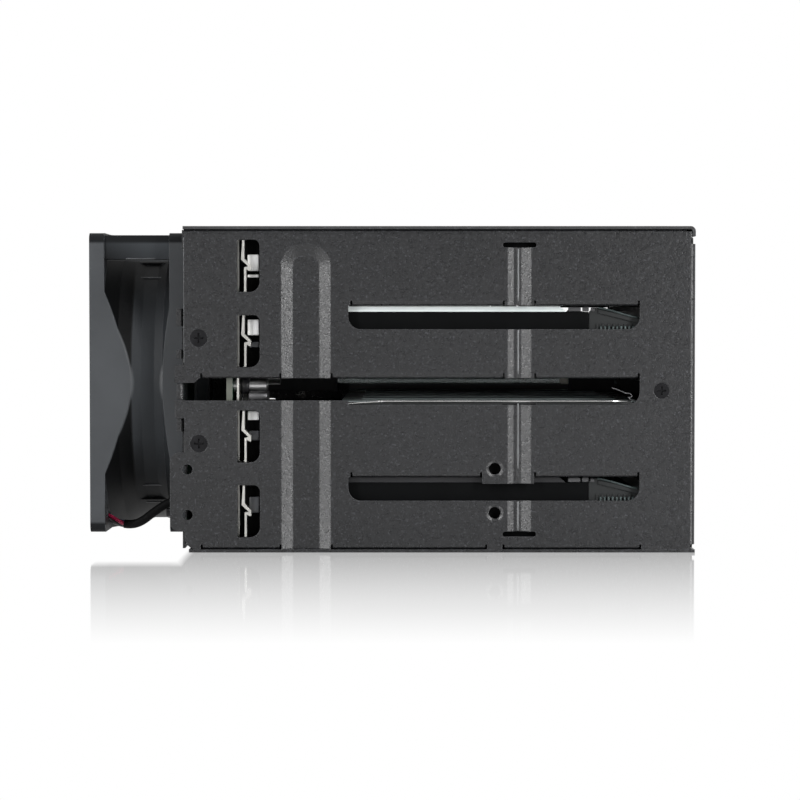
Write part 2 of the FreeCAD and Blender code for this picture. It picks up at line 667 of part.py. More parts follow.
def centre_bar():
    """Front bar between the second and the third tray, with four indicator windows."""
    low = FLOORS[1] + TRAY_RUN_GAP + BEZEL_LOW + BEZEL_HEIGHT + BEZEL_SPACE
    high = FLOORS[2] + TRAY_RUN_GAP + BEZEL_LOW - BEZEL_SPACE
    body = block(BAR_REAR, BAR_FRONT - SHEET, -INNER + FIT, INNER - FIT, low, high)
    fascia = block(BAR_FRONT - SHEET - 2 * FIT, BAR_FRONT, -FRONT_OPENING + FIT,
                   FRONT_OPENING - FIT, low, high)
    body = body.cut(block(BAR_FRONT - SHEET - 2 * FIT - 0.5, BAR_FRONT, FRONT_OPENING - FIT,
                          HALF, low, high))
    body = body.cut(block(BAR_FRONT - SHEET - 2 * FIT - 0.5, BAR_FRONT, -HALF,
                          -FRONT_OPENING + FIT, low, high))
    bar = body.fuse(fascia)
    pocket_half = LEVER_END
    bar = bar.cut(block(BAR_REAR - 1, BAR_FRONT - 2 * SHEET, -pocket_half, pocket_half,
                        low + SHEET, high - SHEET))
    for side in (-1, 1):
        start = vec(at(FRONT_SCREW_U), side * HALF, FRONT_SCREW_Z)
        bar = bar.cut(rod(SIDE_SCREW_CORE + SCREW_GAP, start, vec(0, -side * 14, 0)))
    for y in GUIDE_YS:
        bar = bar.cut(guide_cutter(y))
    return bar.removeSplitter()


def guide_shape(y, grow, u0, u1):
    corners = [
        (y - GUIDE_WIDTH / 2 - grow, GUIDE_Z - grow, 0.5),
        (y + GUIDE_WIDTH / 2 + grow, GUIDE_Z - grow, 0.5),
        (y + GUIDE_WIDTH / 2 + grow, GUIDE_Z + GUIDE_HEIGHT + grow, 0.5),
        (y - GUIDE_WIDTH / 2 - grow, GUIDE_Z + GUIDE_HEIGHT + grow, 0.5),
    ]
    return prism(corners, cross_plane(u0), vec(u1 - u0, 0, 0))


def guide_cutter(y):
    return guide_shape(y, PIPE_GAP, BAR_REAR - 1, BAR_FRONT + 1)


def guide_holders():
    """Black blocks that carry the two light guides behind the bracket and behind the bar."""
    holders = []
    for u0, u1 in (HOLDER_REAR, HOLDER_FRONT):
        body = block(u0, u1, GUIDE_YS[0] - GUIDE_WIDTH / 2 - HOLDER_WALL,
                     GUIDE_YS[1] + GUIDE_WIDTH / 2 + HOLDER_WALL, DECK_TOP + FIT,
                     GUIDE_Z + GUIDE_HEIGHT + 2 * HOLDER_WALL)
        channels = [guide_shape(y, PIPE_GAP, u0 - 1, u1 + 1) for y in GUIDE_YS]
        holders.append(body.cut(channels))
    return Part.makeCompound(holders)


def light_guides():
    start = BOARD_U + BOARD_THICKNESS + FIT
    return Part.makeCompound([guide_shape(y, 0, start, BAR_FRONT - FIT) for y in GUIDE_YS])


def side_screws():
    screws = []
    for side in (-1, 1):
        inward = vec(0, -side, 0)
        for z in SIDE_SCREW_HEIGHTS:
            screws.append(sunk_screw(vec(at(SIDE_SCREW_U), side * HALF, z), inward,
                                     SIDE_SCREW_HEAD, SIDE_SCREW_CORE, SIDE_SCREW_LENGTH))
        screws.append(sunk_screw(vec(at(FRONT_SCREW_U), side * HALF, FRONT_SCREW_Z), inward,
                                 FRONT_SCREW_HEAD, SIDE_SCREW_CORE, SIDE_SCREW_LENGTH))
    return Part.makeCompound(screws)


# ---- rear panel and fan ----
def fan_corner_points():
    half = FAN_HOLE_SPACING / 2
    return [(y, FAN_CENTRE_Z + z) for y in (-half, half) for z in (-half, half)]


def lead_eye():
    """Where the fan lead passes the front flange and the panel."""
    return LEAD_ROUTE[-1][1], LEAD_ROUTE[-1][2]


def fan_panel():
    low = SHEET + FIT
    high = COVER_Z - FIT
    half = PANEL_HALF
    panel = block(-PANEL_SHEET, 0, -half + BEND, half - BEND, low, high)
    tabs = [(z - PANEL_TAB_HEIGHT / 2, z + PANEL_TAB_HEIGHT / 2) for z in SIDE_SCREW_HEIGHTS]
    extras = []
    inner = vec(0, 1, 0)
    for z0, z1 in PANEL_LIPS:
        extras.append(bent_edge(vec(at(0), -half, z0), inner, vec(-1, 0, 0),
                                vec(0, 0, z1 - z0), TAB_REACH - 0.6, PANEL_SHEET))
    for z0, z1 in tabs:
        tab = bent_edge(vec(at(-PANEL_SHEET), -half, z0), inner, vec(1, 0, 0),
                        vec(0, 0, z1 - z0), SIDE_SCREW_U + PANEL_TAB_REACH, PANEL_SHEET)
        middle = (z0 + z1) / 2
        hole = rod(SIDE_SCREW_CORE + SCREW_GAP, vec(at(SIDE_SCREW_U), -HALF, middle), vec(0, 8, 0))
        extras.append(tab.cut(hole))
    panel = panel.fuse(extras + [mirrored(e) for e in extras])
    cutters = [rod(PANEL_HOLE, vec(at(-2 * PANEL_SHEET), 0, FAN_CENTRE_Z), vec(4, 0, 0))]
    for y, z in fan_corner_points():
        cutters.append(rod(FAN_SCREW_CORE + SCREW_GAP, vec(at(-2 * PANEL_SHEET), y, z),
                           vec(4, 0, 0)))
    eye_y, eye_z = lead_eye()
    cutters.append(rod(LEAD_HOLE, vec(at(-2 * PANEL_SHEET), eye_y, eye_z), vec(4, 0, 0)))
    for y0, z0, width, length in connector_places():
        cutters.append(block(-2 * PANEL_SHEET, 1, y0 - 1, y0 + width + 1, z0 - 1, z0 + length + 1))
    return panel.cut(cutters).removeSplitter()


def revolved(points):
    """Solid of revolution about the fan axis from (u, radius) points."""
    centre = vec(at(0), 0, FAN_CENTRE_Z)
    wire = Part.makePolygon([centre + vec(u, 0, r) for u, r in points + points[:1]])
    return Part.Face(wire).revolve(centre, vec(1, 0, 0), 360)


def fan_square(u0, u1, half):
    corners = [(sy * half, FAN_CENTRE_Z + sz * half, FAN_CORNER_RADIUS)
               for sy, sz in ((-1, -1), (1, -1), (1, 1), (-1, 1))]
    return prism(corners, cross_plane(u0), vec(u1 - u0, 0, 0))


def fan_frame():
    """Two square flanges, a barrel with flared mouths cut flat by the square, posts and hub."""
    back = FAN_BACK_U
    front = back + FAN_DEPTH
    half = FAN_SIZE / 2
    rear_flare = back + FAN_FLANGE
    front_flare = front - FAN_FLANGE
    shell = revolved([
        (rear_flare - 1, 0), (rear_flare - 1, FAN_REAR_MOUTH), (rear_flare, FAN_REAR_MOUTH),
        (rear_flare + FAN_REAR_MOUTH_LENGTH * 0.45, half + 3.4),
        (rear_flare + FAN_REAR_MOUTH_LENGTH * 0.85, half),
        (rear_flare + FAN_REAR_MOUTH_LENGTH * 1.2, FAN_BARREL),
        (front_flare - FAN_FRONT_MOUTH_LENGTH * 1.6, FAN_BARREL),
        (front_flare - FAN_FRONT_MOUTH_LENGTH * 0.7, half),
        (front_flare, FAN_FRONT_MOUTH), (front_flare + 1, FAN_FRONT_MOUTH),
        (front_flare + 1, 0),
    ])
    frame = shell.common(fan_square(back, front, half))
    frame = frame.fuse([fan_square(back, rear_flare, half), fan_square(front_flare, front, half)])

    # closed posts in three corners; the fourth is left open for the lead
    for side, level in ((-1, 1), (1, 1), (1, -1)):
        y_out = side * (half - POST_INSET)
        z_out = FAN_CENTRE_Z + level * (half - POST_INSET)
        y_in = y_out - side * POST_SIZE
        z_in = z_out - level * POST_SIZE
        frame = frame.fuse(block(rear_flare, front_flare, min(y_in, y_out), max(y_in, y_out),
                                 min(z_in, z_out), max(z_in, z_out)))
    ribs = []
    for angle in (35, 145, 215, 325):
        rib = block(rear_flare, front_flare, -FAN_RIB / 2, FAN_RIB / 2,
                    FAN_CENTRE_Z + FAN_BORE + 0.5, FAN_CENTRE_Z + FAN_BARREL + 1.0)
        rib.rotate(vec(0, 0, FAN_CENTRE_Z), vec(1, 0, 0), angle)
        ribs.append(rib)
    frame = frame.fuse(ribs)

    # bore with short flares at both faces
    bore = revolved([
        (back - 1, 0), (back - 1, FAN_BORE + FAN_FACE_FLARE), (back, FAN_BORE + FAN_FACE_FLARE),
        (rear_flare - 1, FAN_BORE), (front_flare + 1, FAN_BORE),
        (front, FAN_BORE + FAN_FACE_FLARE), (front + 1, FAN_BORE + FAN_FACE_FLARE),
        (front + 1, 0),
    ])
    frame = frame.cut(bore)

    # motor base, bearing tube and curved struts at the rear face
    base = revolved([
        (back + 0.4, 0), (back + 0.4, HUB_RADIUS), (back + 0.4 + MOTOR_BASE, HUB_RADIUS),
        (back + 0.4 + MOTOR_BASE, BEARING_RADIUS + 1.5), (back + 1.4 + MOTOR_BASE, BEARING_RADIUS),
        (back + BEARING_END, BEARING_RADIUS), (back + BEARING_END, 0),
    ])
    struts = []
    for i in range(4):
        strut = prism([
            (-STRUT_FOOT, FAN_CENTRE_Z + HUB_RADIUS - 2, 0),
            (STRUT_FOOT, FAN_CENTRE_Z + HUB_RADIUS - 2, 0),
            (5 * STRUT_FOOT, FAN_CENTRE_Z + FAN_BORE + FAN_WALL / 2, 0),
            (3 * STRUT_FOOT, FAN_CENTRE_Z + FAN_BORE + FAN_WALL / 2, 0)],
            cross_plane(back + 0.4), vec(STRUT_DEPTH, 0, 0))
        strut.rotate(vec(0, 0, FAN_CENTRE_Z), vec(1, 0, 0), 45 + 90 * i)
        struts.append(strut)
    frame = frame.fuse([base] + struts)
    cutters = [rod(SHAFT_RADIUS + SHAFT_FIT, vec(at(back + 1.5), 0, FAN_CENTRE_Z),
                    vec(FAN_DEPTH + 2, 0, 0))]
    for y, z in fan_corner_points():
        cutters.append(rod(FAN_HOLE_RADIUS, vec(at(back - 1), y, z),
                           vec(FAN_HOLE_DEPTH + 1, 0, 0)))
        cutters.append(rod(FAN_SCREW_CORE + SCREW_GAP, vec(at(back - 1), y, z),
                           vec(FAN_DEPTH + 2, 0, 0)))
    eye_y, eye_z = lead_eye()
    cutters.append(rod(LEAD_HOLE, vec(at(front_flare - 8), eye_y, eye_z), vec(20, 0, 0)))
    outlet = vec(at(LEAD_ROUTE[0][0]), LEAD_ROUTE[0][1], LEAD_ROUTE[0][2])
    first_bend = vec(at(LEAD_ROUTE[1][0]), LEAD_ROUTE[1][1], LEAD_ROUTE[1][2])
    cutters.append(rod(LEAD_RADIUS + SCREW_GAP, outlet, (first_bend - outlet) * 1.5))
    return frame.cut(cutters).removeSplitter()


def blade():
    """Twisted, cambered blade: a loft through three lens sections at growing radius."""
    middle_u = FAN_BACK_U + FAN_FLANGE + 14.5
    wires = []
    for radius, chord, pitch, sweep in ((HUB_RADIUS - HUB_WALL / 2, 25.0, 58, 0),
                                        ((HUB_RADIUS + FAN_BORE) / 2, 31.0, 44, 6),
                                        (FAN_BORE + 1, 35.0, 33, 14)):
        camber = chord * 0.09
        thick = BLADE_THICKNESS
        along = vec(math.sin(math.radians(pitch)), math.cos(math.radians(pitch)), 0)
        across = vec(math.cos(math.radians(pitch)), -math.sin(math.radians(pitch)), 0)
        start = along * (-chord / 2)
        end = along * (chord / 2)
        upper = Part.Arc(start, across * (camber + thick), end).toShape()
        lower = Part.Arc(end, across * (camber - thick), start).toShape()
        wire = Part.Wire([upper, lower])
        wire.translate(vec(at(middle_u), 0, FAN_CENTRE_Z + radius))
        wire.rotate(vec(0, 0, FAN_CENTRE_Z), vec(1, 0, 0), sweep)
        wires.append(wire)
    solid = Part.makeLoft(wires, True, False)
    limit = rod(FAN_BORE - TIP_GAP, vec(at(FAN_BACK_U), 0, FAN_CENTRE_Z), vec(FAN_DEPTH, 0, 0))
    return solid.common(limit)


def fan_rotor():
    back = FAN_BACK_U + 0.4 + MOTOR_BASE + ROTOR_GAP
    front = FAN_BACK_U + FAN_DEPTH - 3.5
    cup = revolved([
        (back, HUB_RADIUS - HUB_WALL), (back, HUB_RADIUS), (front - 3, HUB_RADIUS),
        (front - 0.8, HUB_RADIUS - 1.2), (front, HUB_RADIUS - 4), (front, 0),
        (front - HUB_WALL, 0), (front - HUB_WALL, HUB_RADIUS - HUB_WALL),
    ])
    shaft = rod(SHAFT_RADIUS, vec(at(FAN_BACK_U + 2.0), 0, FAN_CENTRE_Z),
                vec(FAN_DEPTH - 3.5 - 2.0 - HUB_WALL / 2, 0, 0))
    magnet = revolved([
        (back, HUB_RADIUS - HUB_WALL - 2.0), (back, HUB_RADIUS - HUB_WALL),
        (front - 8, HUB_RADIUS - HUB_WALL), (front - 8, HUB_RADIUS - HUB_WALL - 2.0),
    ])
    rotor = cup.fuse([shaft, magnet])
    first = blade()
    blades = []
    for i in range(BLADE_COUNT):
        copy = first.copy()
        copy.rotate(vec(0, 0, FAN_CENTRE_Z), vec(1, 0, 0), i * 360 / BLADE_COUNT)
        blades.append(copy)
    inside = rod(HUB_RADIUS - HUB_WALL / 2, vec(at(FAN_BACK_U), 0, FAN_CENTRE_Z),
                 vec(FAN_DEPTH, 0, 0))
    blades = [b.cut(inside) for b in blades]
    return rotor.fuse(blades).removeSplitter()


def fan_screws():
    """Pan head screws through the panel into the front flange of the fan."""
    screws = []
    for y, z in fan_corner_points():
        head = Part.makeCone(FAN_SCREW_HEAD, 0.7 * FAN_SCREW_HEAD, FAN_SCREW_HEAD_HEIGHT,
                             vec(at(0), y, z), vec(1, 0, 0))
        shank = rod(FAN_SCREW_CORE, vec(at(0), y, z), vec(-FAN_SCREW_LENGTH, 0, 0))
        screws.append(head.fuse(shank))
    return Part.makeCompound(screws)


def round_tube(points, radius):
    """Tube of straight runs joined by tangent arcs, as large as the runs allow."""
    edges = []
    last = points[0]
    radii = []
    for i in range(1, len(points) - 1):
        here = points[i]
        back = points[i - 1] - here
        ahead = points[i + 1] - here
        turn = math.pi - back.getAngle(ahead)
        bend = 0.45 * min(back.Length, ahead.Length) / math.tan(turn / 2)
        radii.append(round(bend, 1))
        cut = bend * math.tan(turn / 2)
        back.normalize()
        ahead.normalize()
        start = here + back * cut
        end = here + ahead * cut
        inward = (back + ahead).normalize()
        middle = here + inward * (bend / math.cos(turn / 2) - bend)
        edges.append(Part.LineSegment(last, start).toShape())
        edges.append(Part.Arc(start, middle, end).toShape())
        last = end
    edges.append(Part.LineSegment(last, points[-1]).toShape())
    path = Part.Wire(edges)
    direction = points[1] - points[0]
    section = Part.Wire([Part.makeCircle(radius, points[0], direction)])
    tube = path.makePipeShell([section], True, True)
    print("lead length", round(path.Length, 1), "bend radii", radii, "volume ratio",
          round(tube.Volume / (math.pi * radius ** 2 * path.Length), 4))
    return tube


def fan_lead():
    points = [vec(at(u), y, z) for u, y, z in LEAD_ROUTE]
    return round_tube(points, LEAD_RADIUS)


def fan_plug():
    """Plug on the fan lead, pushed on the header."""
    eye_y, eye_z = lead_eye()
    start = LEAD_ROUTE[-1][0]
    body = block(start, start + PLUG_LENGTH, eye_y - PLUG_WIDTH / 2, eye_y + PLUG_WIDTH / 2,
                 eye_z - PLUG_HEIGHT / 2, eye_z + PLUG_HEIGHT / 2)
    latch = block(start + 1, start + PLUG_LENGTH - 0.5, eye_y - PLUG_WIDTH / 4,
                  eye_y + PLUG_WIDTH / 4, eye_z + PLUG_HEIGHT / 2, eye_z + PLUG_HEIGHT / 2 + 1)
    return body.fuse(latch)


def fan_header():
    eye_y, eye_z = lead_eye()
    start = LEAD_ROUTE[-1][0] + PLUG_LENGTH / 2 + FIT
    low = eye_z - PLUG_HEIGHT / 2
    high = eye_z + PLUG_HEIGHT / 2 + 1
    wide = PLUG_WIDTH / 2 + FIT
    box = block(start, BOARD_U, eye_y - wide - 1, eye_y + wide + 1, low - FIT - 1.5, high + FIT + 1)
    pocket = block(start - 1, LEAD_ROUTE[-1][0] + PLUG_LENGTH + FIT, eye_y - wide, eye_y + wide,
                   low - FIT, high + FIT)
    return box.cut(pocket)


# ---- backplane ----
def vent_boxes(u0, u1):
    """Air openings of the board and of the bracket, two beside each socket."""
    boxes = []
    for floor in FLOORS:
        for side in (-1, 1):
            beside_header = floor == FLOORS[0] and side < 0
            inner = side * VENT_INNER
            outer = side * (HEADER_VENT_OUTER if beside_header else VENT_OUTER)
            low = floor + VENT_RISE
            high = low + VENT_HEIGHT
            corners = [
                (min(inner, outer), low, VENT_RADIUS), (max(inner, outer), low, VENT_RADIUS),
                (max(inner, outer), high, VENT_RADIUS), (min(inner, outer), high, VENT_RADIUS)]
            boxes.append(prism(corners, cross_plane(u0), vec(u1 - u0, 0, 0)))
    return boxes


def standoff_places():
    edge = BOARD_HALF_WIDTH - 6.1
    sides = [(y, z) for y in (-edge, edge)
             for z in (FLOORS[0] + 5.0, FLOORS[1] + 24.3, FLOORS[3] + 24.0)]
    return sides + [(0.0, z + 18.0) for z in (FLOORS[0], FLOORS[1], FLOORS[3])]


def backplane_board():
    board = prism([
        (-BOARD_HALF_WIDTH, FLOORS[0] + 0.6, 1.5), (BOARD_HALF_WIDTH, FLOORS[0] + 0.6, 1.5),
        (BOARD_HALF_WIDTH, COVER_Z - 2 * SHEET, 1.5),
        (-BOARD_HALF_WIDTH, COVER_Z - 2 * SHEET, 1.5)],
        cross_plane(BOARD_U), vec(BOARD_THICKNESS, 0, 0))
    holes = [rod(1.6, vec(at(BOARD_U - 1), y, z), vec(6, 0, 0)) for y, z in standoff_places()]
    return board.cut(vent_boxes(BOARD_U - 1, BOARD_U + 5) + holes)


def hexagon(across, start, length):
    """Six sided prism along X, measured across its flats."""
    tip = across / math.sqrt(3)
    corners = [start + vec(0, tip * math.cos(math.radians(60 * i)),
                           tip * math.sin(math.radians(60 * i))) for i in range(7)]
    return Part.Face(Part.makePolygon(corners)).extrude(vec(length, 0, 0))


def board_standoffs():
    """Spacers from the board to the bracket with their screw heads behind the board."""
    pieces = []
    for y, z in standoff_places():
        spacer = hexagon(5.2, vec(at(BOARD_U + BOARD_THICKNESS), y, z), BRACKET_GAP)
        head = hexagon(5.2, vec(at(BOARD_U), y, z), -1.8)
        shank = rod(1.5, vec(at(BOARD_U), y, z),
                    vec(BOARD_THICKNESS + BRACKET_GAP + BRACKET_SHEET, 0, 0))
        pieces.append(spacer.fuse([head, shank]))
    return Part.makeCompound(pieces)


def hook_tab(low):
    """Joggled tab of the bracket in one window: upper strip, Z hook, lower strip."""
    sheet = BRACKET_SHEET
    top = low + WINDOW_HEIGHT - FIT
    bottom = low + FIT
    middle = low + WINDOW_HEIGHT * 0.56
    base = BRACKET_U
    upper_u = WINDOW_REAR + 1.6
    lower_u = upper_u + 1.2
    tip_u = lower_u + 2.0
    corners = [
        (upper_u + 0.5, top, 0), (upper_u, middle + 1.2, 0), (tip_u - 0.4, middle - 1.4, 0),
        (lower_u, middle - 1.8, 0), (lower_u, bottom, 0), (lower_u + sheet, bottom, 0),
        (lower_u + sheet, middle - 2.6, 0), (tip_u + 0.6, middle - 3.4, 0.4),
        (tip_u + 0.6, middle - 0.9, 0.4), (upper_u + sheet + 0.4, middle + 1.6, 0),
        (upper_u + sheet + 0.5, top, 0)]
    reach = HALF - 0.4 - (BOARD_HALF_WIDTH - 3.0)
    strip = prism(corners, side_plane(-HALF + 0.4), vec(0, reach, 0))
    joggle = block(base, tip_u, -BOARD_HALF_WIDTH + 2.2, -BOARD_HALF_WIDTH + 3.0,
                   bottom + 2, top - 2)
    return strip.fuse(joggle)


def backplane_bracket():
    """Zinc plated plate in front of the board, hooked into the four windows at each side."""
    low = FLOORS[0] + 0.8
    high = COVER_Z - 2 * SHEET - 0.2
    plate = block(BRACKET_U, BRACKET_U + BRACKET_SHEET, -BOARD_HALF_WIDTH, BOARD_HALF_WIDTH, low, high)
    cutters = vent_boxes(BRACKET_U - 1, BRACKET_U + 3)
    for floor in FLOORS:
        cutters.append(block(BRACKET_U - 1, BRACKET_U + 3, -SOCKET_WIDTH / 2 - 1,
                             SOCKET_WIDTH / 2 + 1, floor + SOCKET_RISE - 0.6,
                             floor + SOCKET_RISE + SOCKET_HEIGHT + 0.6))
    for y, z in can_places():
        cutters.append(rod(CAN_RADIUS + 1, vec(at(BRACKET_U - 1), y, z), vec(3, 0, 0)))
    for y in GUIDE_YS:
        cutters.append(guide_shape(y, 3 * PIPE_GAP, BRACKET_U - 1, BRACKET_U + 3))
    for y, z in standoff_places():
        cutters.append(rod(1.6, vec(at(BRACKET_U - 1), y, z), vec(3, 0, 0)))
    tabs = []
    for window in WINDOW_LOWS:
        for side in (-1, 1):
            outer = -side * (BOARD_HALF_WIDTH - 2.2)
            gap = block(BRACKET_U - 1, BRACKET_U + 3, -BOARD_HALF_WIDTH - 1,
                        -BOARD_HALF_WIDTH + 2.2, window - 1, window + WINDOW_HEIGHT + 1)
            cutters.append(on_side(gap, side))
            tabs.append(on_side(hook_tab(window), side))
    return plate.cut(cutters).fuse(tabs).removeSplitter()


def drive_socket(floor):
    """Receptacle for one drive: housing with a tongue in an L shaped slot and two guide horns."""
    start = BOARD_U + BOARD_THICKNESS
    half = SOCKET_WIDTH / 2
    low = floor + SOCKET_RISE
    high = low + SOCKET_HEIGHT
    body = block(start, start + SOCKET_DEPTH, -half, half, low, high)
    slot = block(start + 2, start + SOCKET_DEPTH + 1, -half + 4, half - 4, low + 1.4, high - 1.2)
    tongue = block(start + 1, start + SOCKET_DEPTH - 0.6, -half + 5, half - 5, low + 2.6, low + 3.8)
    key = block(start + 1, start + SOCKET_DEPTH - 0.6, 2.0, 3.4, low + 1.0, high - 1.0)
    body = body.cut(slot).fuse([tongue, key])
    horns = []
    for side in (-1, 1):
        y = side * (half - 2)
        horn = prism([
            (start, y - 1.6, 0), (start + SOCKET_DEPTH + 3, y - 0.8, 0.4),
            (start + SOCKET_DEPTH + 3, y + 0.8, 0.4), (start, y + 1.6, 0)],
            level_plane(low), vec(0, 0, SOCKET_HEIGHT))
        horns.append(horn)
    return body.fuse(horns).removeSplitter()


def can_places():
    return [(y, GUIDE_Z + GUIDE_HEIGHT) for y in CAN_YS]


def capacitors():
    """Aluminium cans standing on the board in the air channel."""
    cans = []
    for y, z in can_places():
        start = vec(at(BOARD_U + BOARD_THICKNESS), y, z)
        neck = rod(CAN_RADIUS - CAN_GROOVE, start, vec(CAN_LENGTH, 0, 0))
        foot = rod(CAN_RADIUS, start, vec(CAN_FOOT, 0, 0))
        sleeve = rod(CAN_RADIUS, start + vec(CAN_FOOT + CAN_GROOVE, 0, 0),
                     vec(CAN_LENGTH - CAN_FOOT - CAN_GROOVE, 0, 0))
        cans.append(neck.fuse([foot, sleeve]))
    return Part.makeCompound(cans)


def data_places():
    return [(PORT_Y, floor + rise) for floor, rise in zip(FLOORS, PORT_RISES)]


def inlet_places():
    return [(INLET_Y, z) for z in INLET_LOWS]


def connector_places():
    """Panel openings as (y, z, width, length)."""
    ports = [(y, z, PORT_THICKNESS, PORT_WIDTH) for y, z in data_places()]
    inlets = [(y, z, INLET_THICKNESS, INLET_WIDTH) for y, z in inlet_places()]
    return ports + inlets


def data_ports():
    ports = []
    for y, z in data_places():
        start = BOARD_U - PORT_DEPTH
        shell = block(start, BOARD_U, y, y + PORT_THICKNESS, z, z + PORT_WIDTH)
        slot = block(start - 1, start + CONNECTOR_POCKET - 1, y + CONNECTOR_WALL,
                     y + PORT_THICKNESS - CONNECTOR_WALL, z + CONNECTOR_WALL,
                     z + PORT_WIDTH - CONNECTOR_WALL)
        tongue = block(start + 1, start + CONNECTOR_POCKET, y + 2 * CONNECTOR_WALL,
                       y + 3 * CONNECTOR_WALL, z + 3.2, z + PORT_WIDTH - 4.2)
        ports.append(shell.cut(slot).fuse(tongue))
    return Part.makeCompound(ports)


def power_inlets():
    inlets = []
    for y, z in inlet_places():
        start = BOARD_U - PORT_DEPTH
        shell = prism([
            (y, z, 0), (y + INLET_THICKNESS, z, 2.0),
            (y + INLET_THICKNESS, z + INLET_WIDTH, 2.0), (y, z + INLET_WIDTH, 0)],
            cross_plane(start), vec(PORT_DEPTH, 0, 0))
        shell = shell.cut(block(start - 1, start + CONNECTOR_POCKET, y + CONNECTOR_WALL,
                                y + INLET_THICKNESS - CONNECTOR_WALL, z + CONNECTOR_WALL,
                                z + INLET_WIDTH - CONNECTOR_WALL))
        pins = [rod(INLET_PIN, vec(at(start + 2), y + INLET_THICKNESS / 2,
                                   z + INLET_WIDTH / 2 + INLET_PITCH * (i - 1.5)),
                    vec(CONNECTOR_POCKET - 1, 0, 0))
                for i in range(4)]
        inlets.append(shell.fuse(pins))
    return Part.makeCompound(inlets)


# ---- trays ----
def tray_frame(floor):
    """Open carrier: two edge rails with walls, three cross members, drive rails and clips."""
    low = floor + TRAY_RUN_GAP
    pieces = []
    cutters = []
    inner = DRIVE_HALF_WIDTH + FIT
    for side in (-1, 1):
        def strip(u0, u1, a, b, z0, z1):
            return on_side(block(u0, u1, -b, -a, low + z0, low + z1), side)
        pieces.append(strip(TRAY_REAR, TRAY_FLOOR_FRONT, inner, TRAY_HALF_WIDTH, 0, TRAY_FLOOR))
        pieces.append(strip(TRAY_REAR, TRAY_WALL_FRONT, TRAY_HALF_WIDTH - TRAY_WALL,
                            TRAY_HALF_WIDTH, 0, TRAY_HEIGHT))
        pieces.append(strip(TRAY_REAR, TRAY_FLOOR_FRONT - 12, inner, inner + DRIVE_RAIL, 0,
                            DRIVE_RAIL_HEIGHT))
        for hole in DRIVE_HOLES:
            place = vec(at(DRIVE_CONNECTOR_U + hole), side * (inner - 2),
                        low + TRAY_FLOOR + DRIVE_HOLE_RISE)
            cutters.append(rod(DRIVE_HOLE_RADIUS, place, vec(0, side * 6, 0)))
        y0 = inner + TRAY_HOLE_INSET
        y1 = TRAY_HALF_WIDTH - TRAY_WALL - TRAY_HOLE_INSET
        end = 0.45 * (y1 - y0)
        for start in TRAY_HOLE_STARTS:
            stop = start + TRAY_HOLE_LENGTH
            corners = [(start, y0, end), (stop, y0, end), (stop, y1, end), (start, y1, end)]
            hole = prism(corners, level_plane(low - 1), vec(0, 0, TRAY_FLOOR + 2))
            cutters.append(hole if side > 0 else mirrored(hole))
    for u0, u1 in TRAY_MEMBERS:
        pieces.append(block(u0, u1, -inner, inner, low, low + TRAY_FLOOR))
    for u in PIPE_POST_US:
        post = block(u, u + PIPE_POST, PIPE_YS[0] - 2 * PIPE_RADIUS, TRAY_HALF_WIDTH - TRAY_WALL,
                     low, low + PIPE_RISE + PIPE_POST)
        for y in PIPE_YS:
            cutters.append(rod(PIPE_RADIUS + PIPE_GAP, vec(at(u - 1), y, low + PIPE_RISE),
                               vec(PIPE_POST + 2, 0, 0)))
        pieces.append(post)
    frame = pieces[0].fuse(pieces[1:])
    return frame.cut(cutters).removeSplitter()


def bezel_arm(low):
    """Side arm of the -Y side: rises above the tray's wall, then slopes down to the bezel."""
    outer = BEZEL_HALF_WIDTH - ARM_RIB
    inner = outer - ARM_WALL
    base = low + TRAY_FLOOR
    ridge = low + ARM_HEIGHT
    start = TRAY_WALL_FRONT + FIT
    end = BEZEL_REAR + 1
    arm = prism([
        (start, base, 0), (end, base, 0), (end, ridge - ARM_FALL, 0), (start + ARM_RIDGE, ridge, 0),
        (start + ARM_RISE, ridge, 0), (start, ridge - ARM_RISE, 0)],
        side_plane(-outer), vec(0, outer - inner, 0))
    ribs = []
    u = start + 3.0
    while u < BEZEL_REAR - ARM_RIB_PITCH:
        ribs.append(block(u, u + ARM_RIB, -BEZEL_HALF_WIDTH + FIT, -outer, base,
                          ridge - ARM_FALL - ARM_RIB_PITCH))
        u += ARM_RIB_PITCH
    rail = prism([
        (start + ARM_RIDGE, ridge - ARM_RIB_PITCH, 0),
        (BEZEL_REAR, ridge - ARM_FALL - ARM_RIB_PITCH, 0),
        (BEZEL_REAR, ridge - ARM_FALL, 0), (start + ARM_RIDGE, ridge - ARM_RIB, 0)],
        side_plane(-BEZEL_HALF_WIDTH + FIT), vec(0, ARM_RIB, 0))
    catches = []
    for step in range(3):
        u = start + ARM_RIDGE + 2 * ARM_RIB_PITCH * step
        catches.append(block(u, u + ARM_RIB_PITCH, -inner, -inner + ARM_CATCH, base,
                             low + PIPE_RISE - 2 * PIPE_RADIUS))
    return arm.fuse(ribs + [rail] + catches)


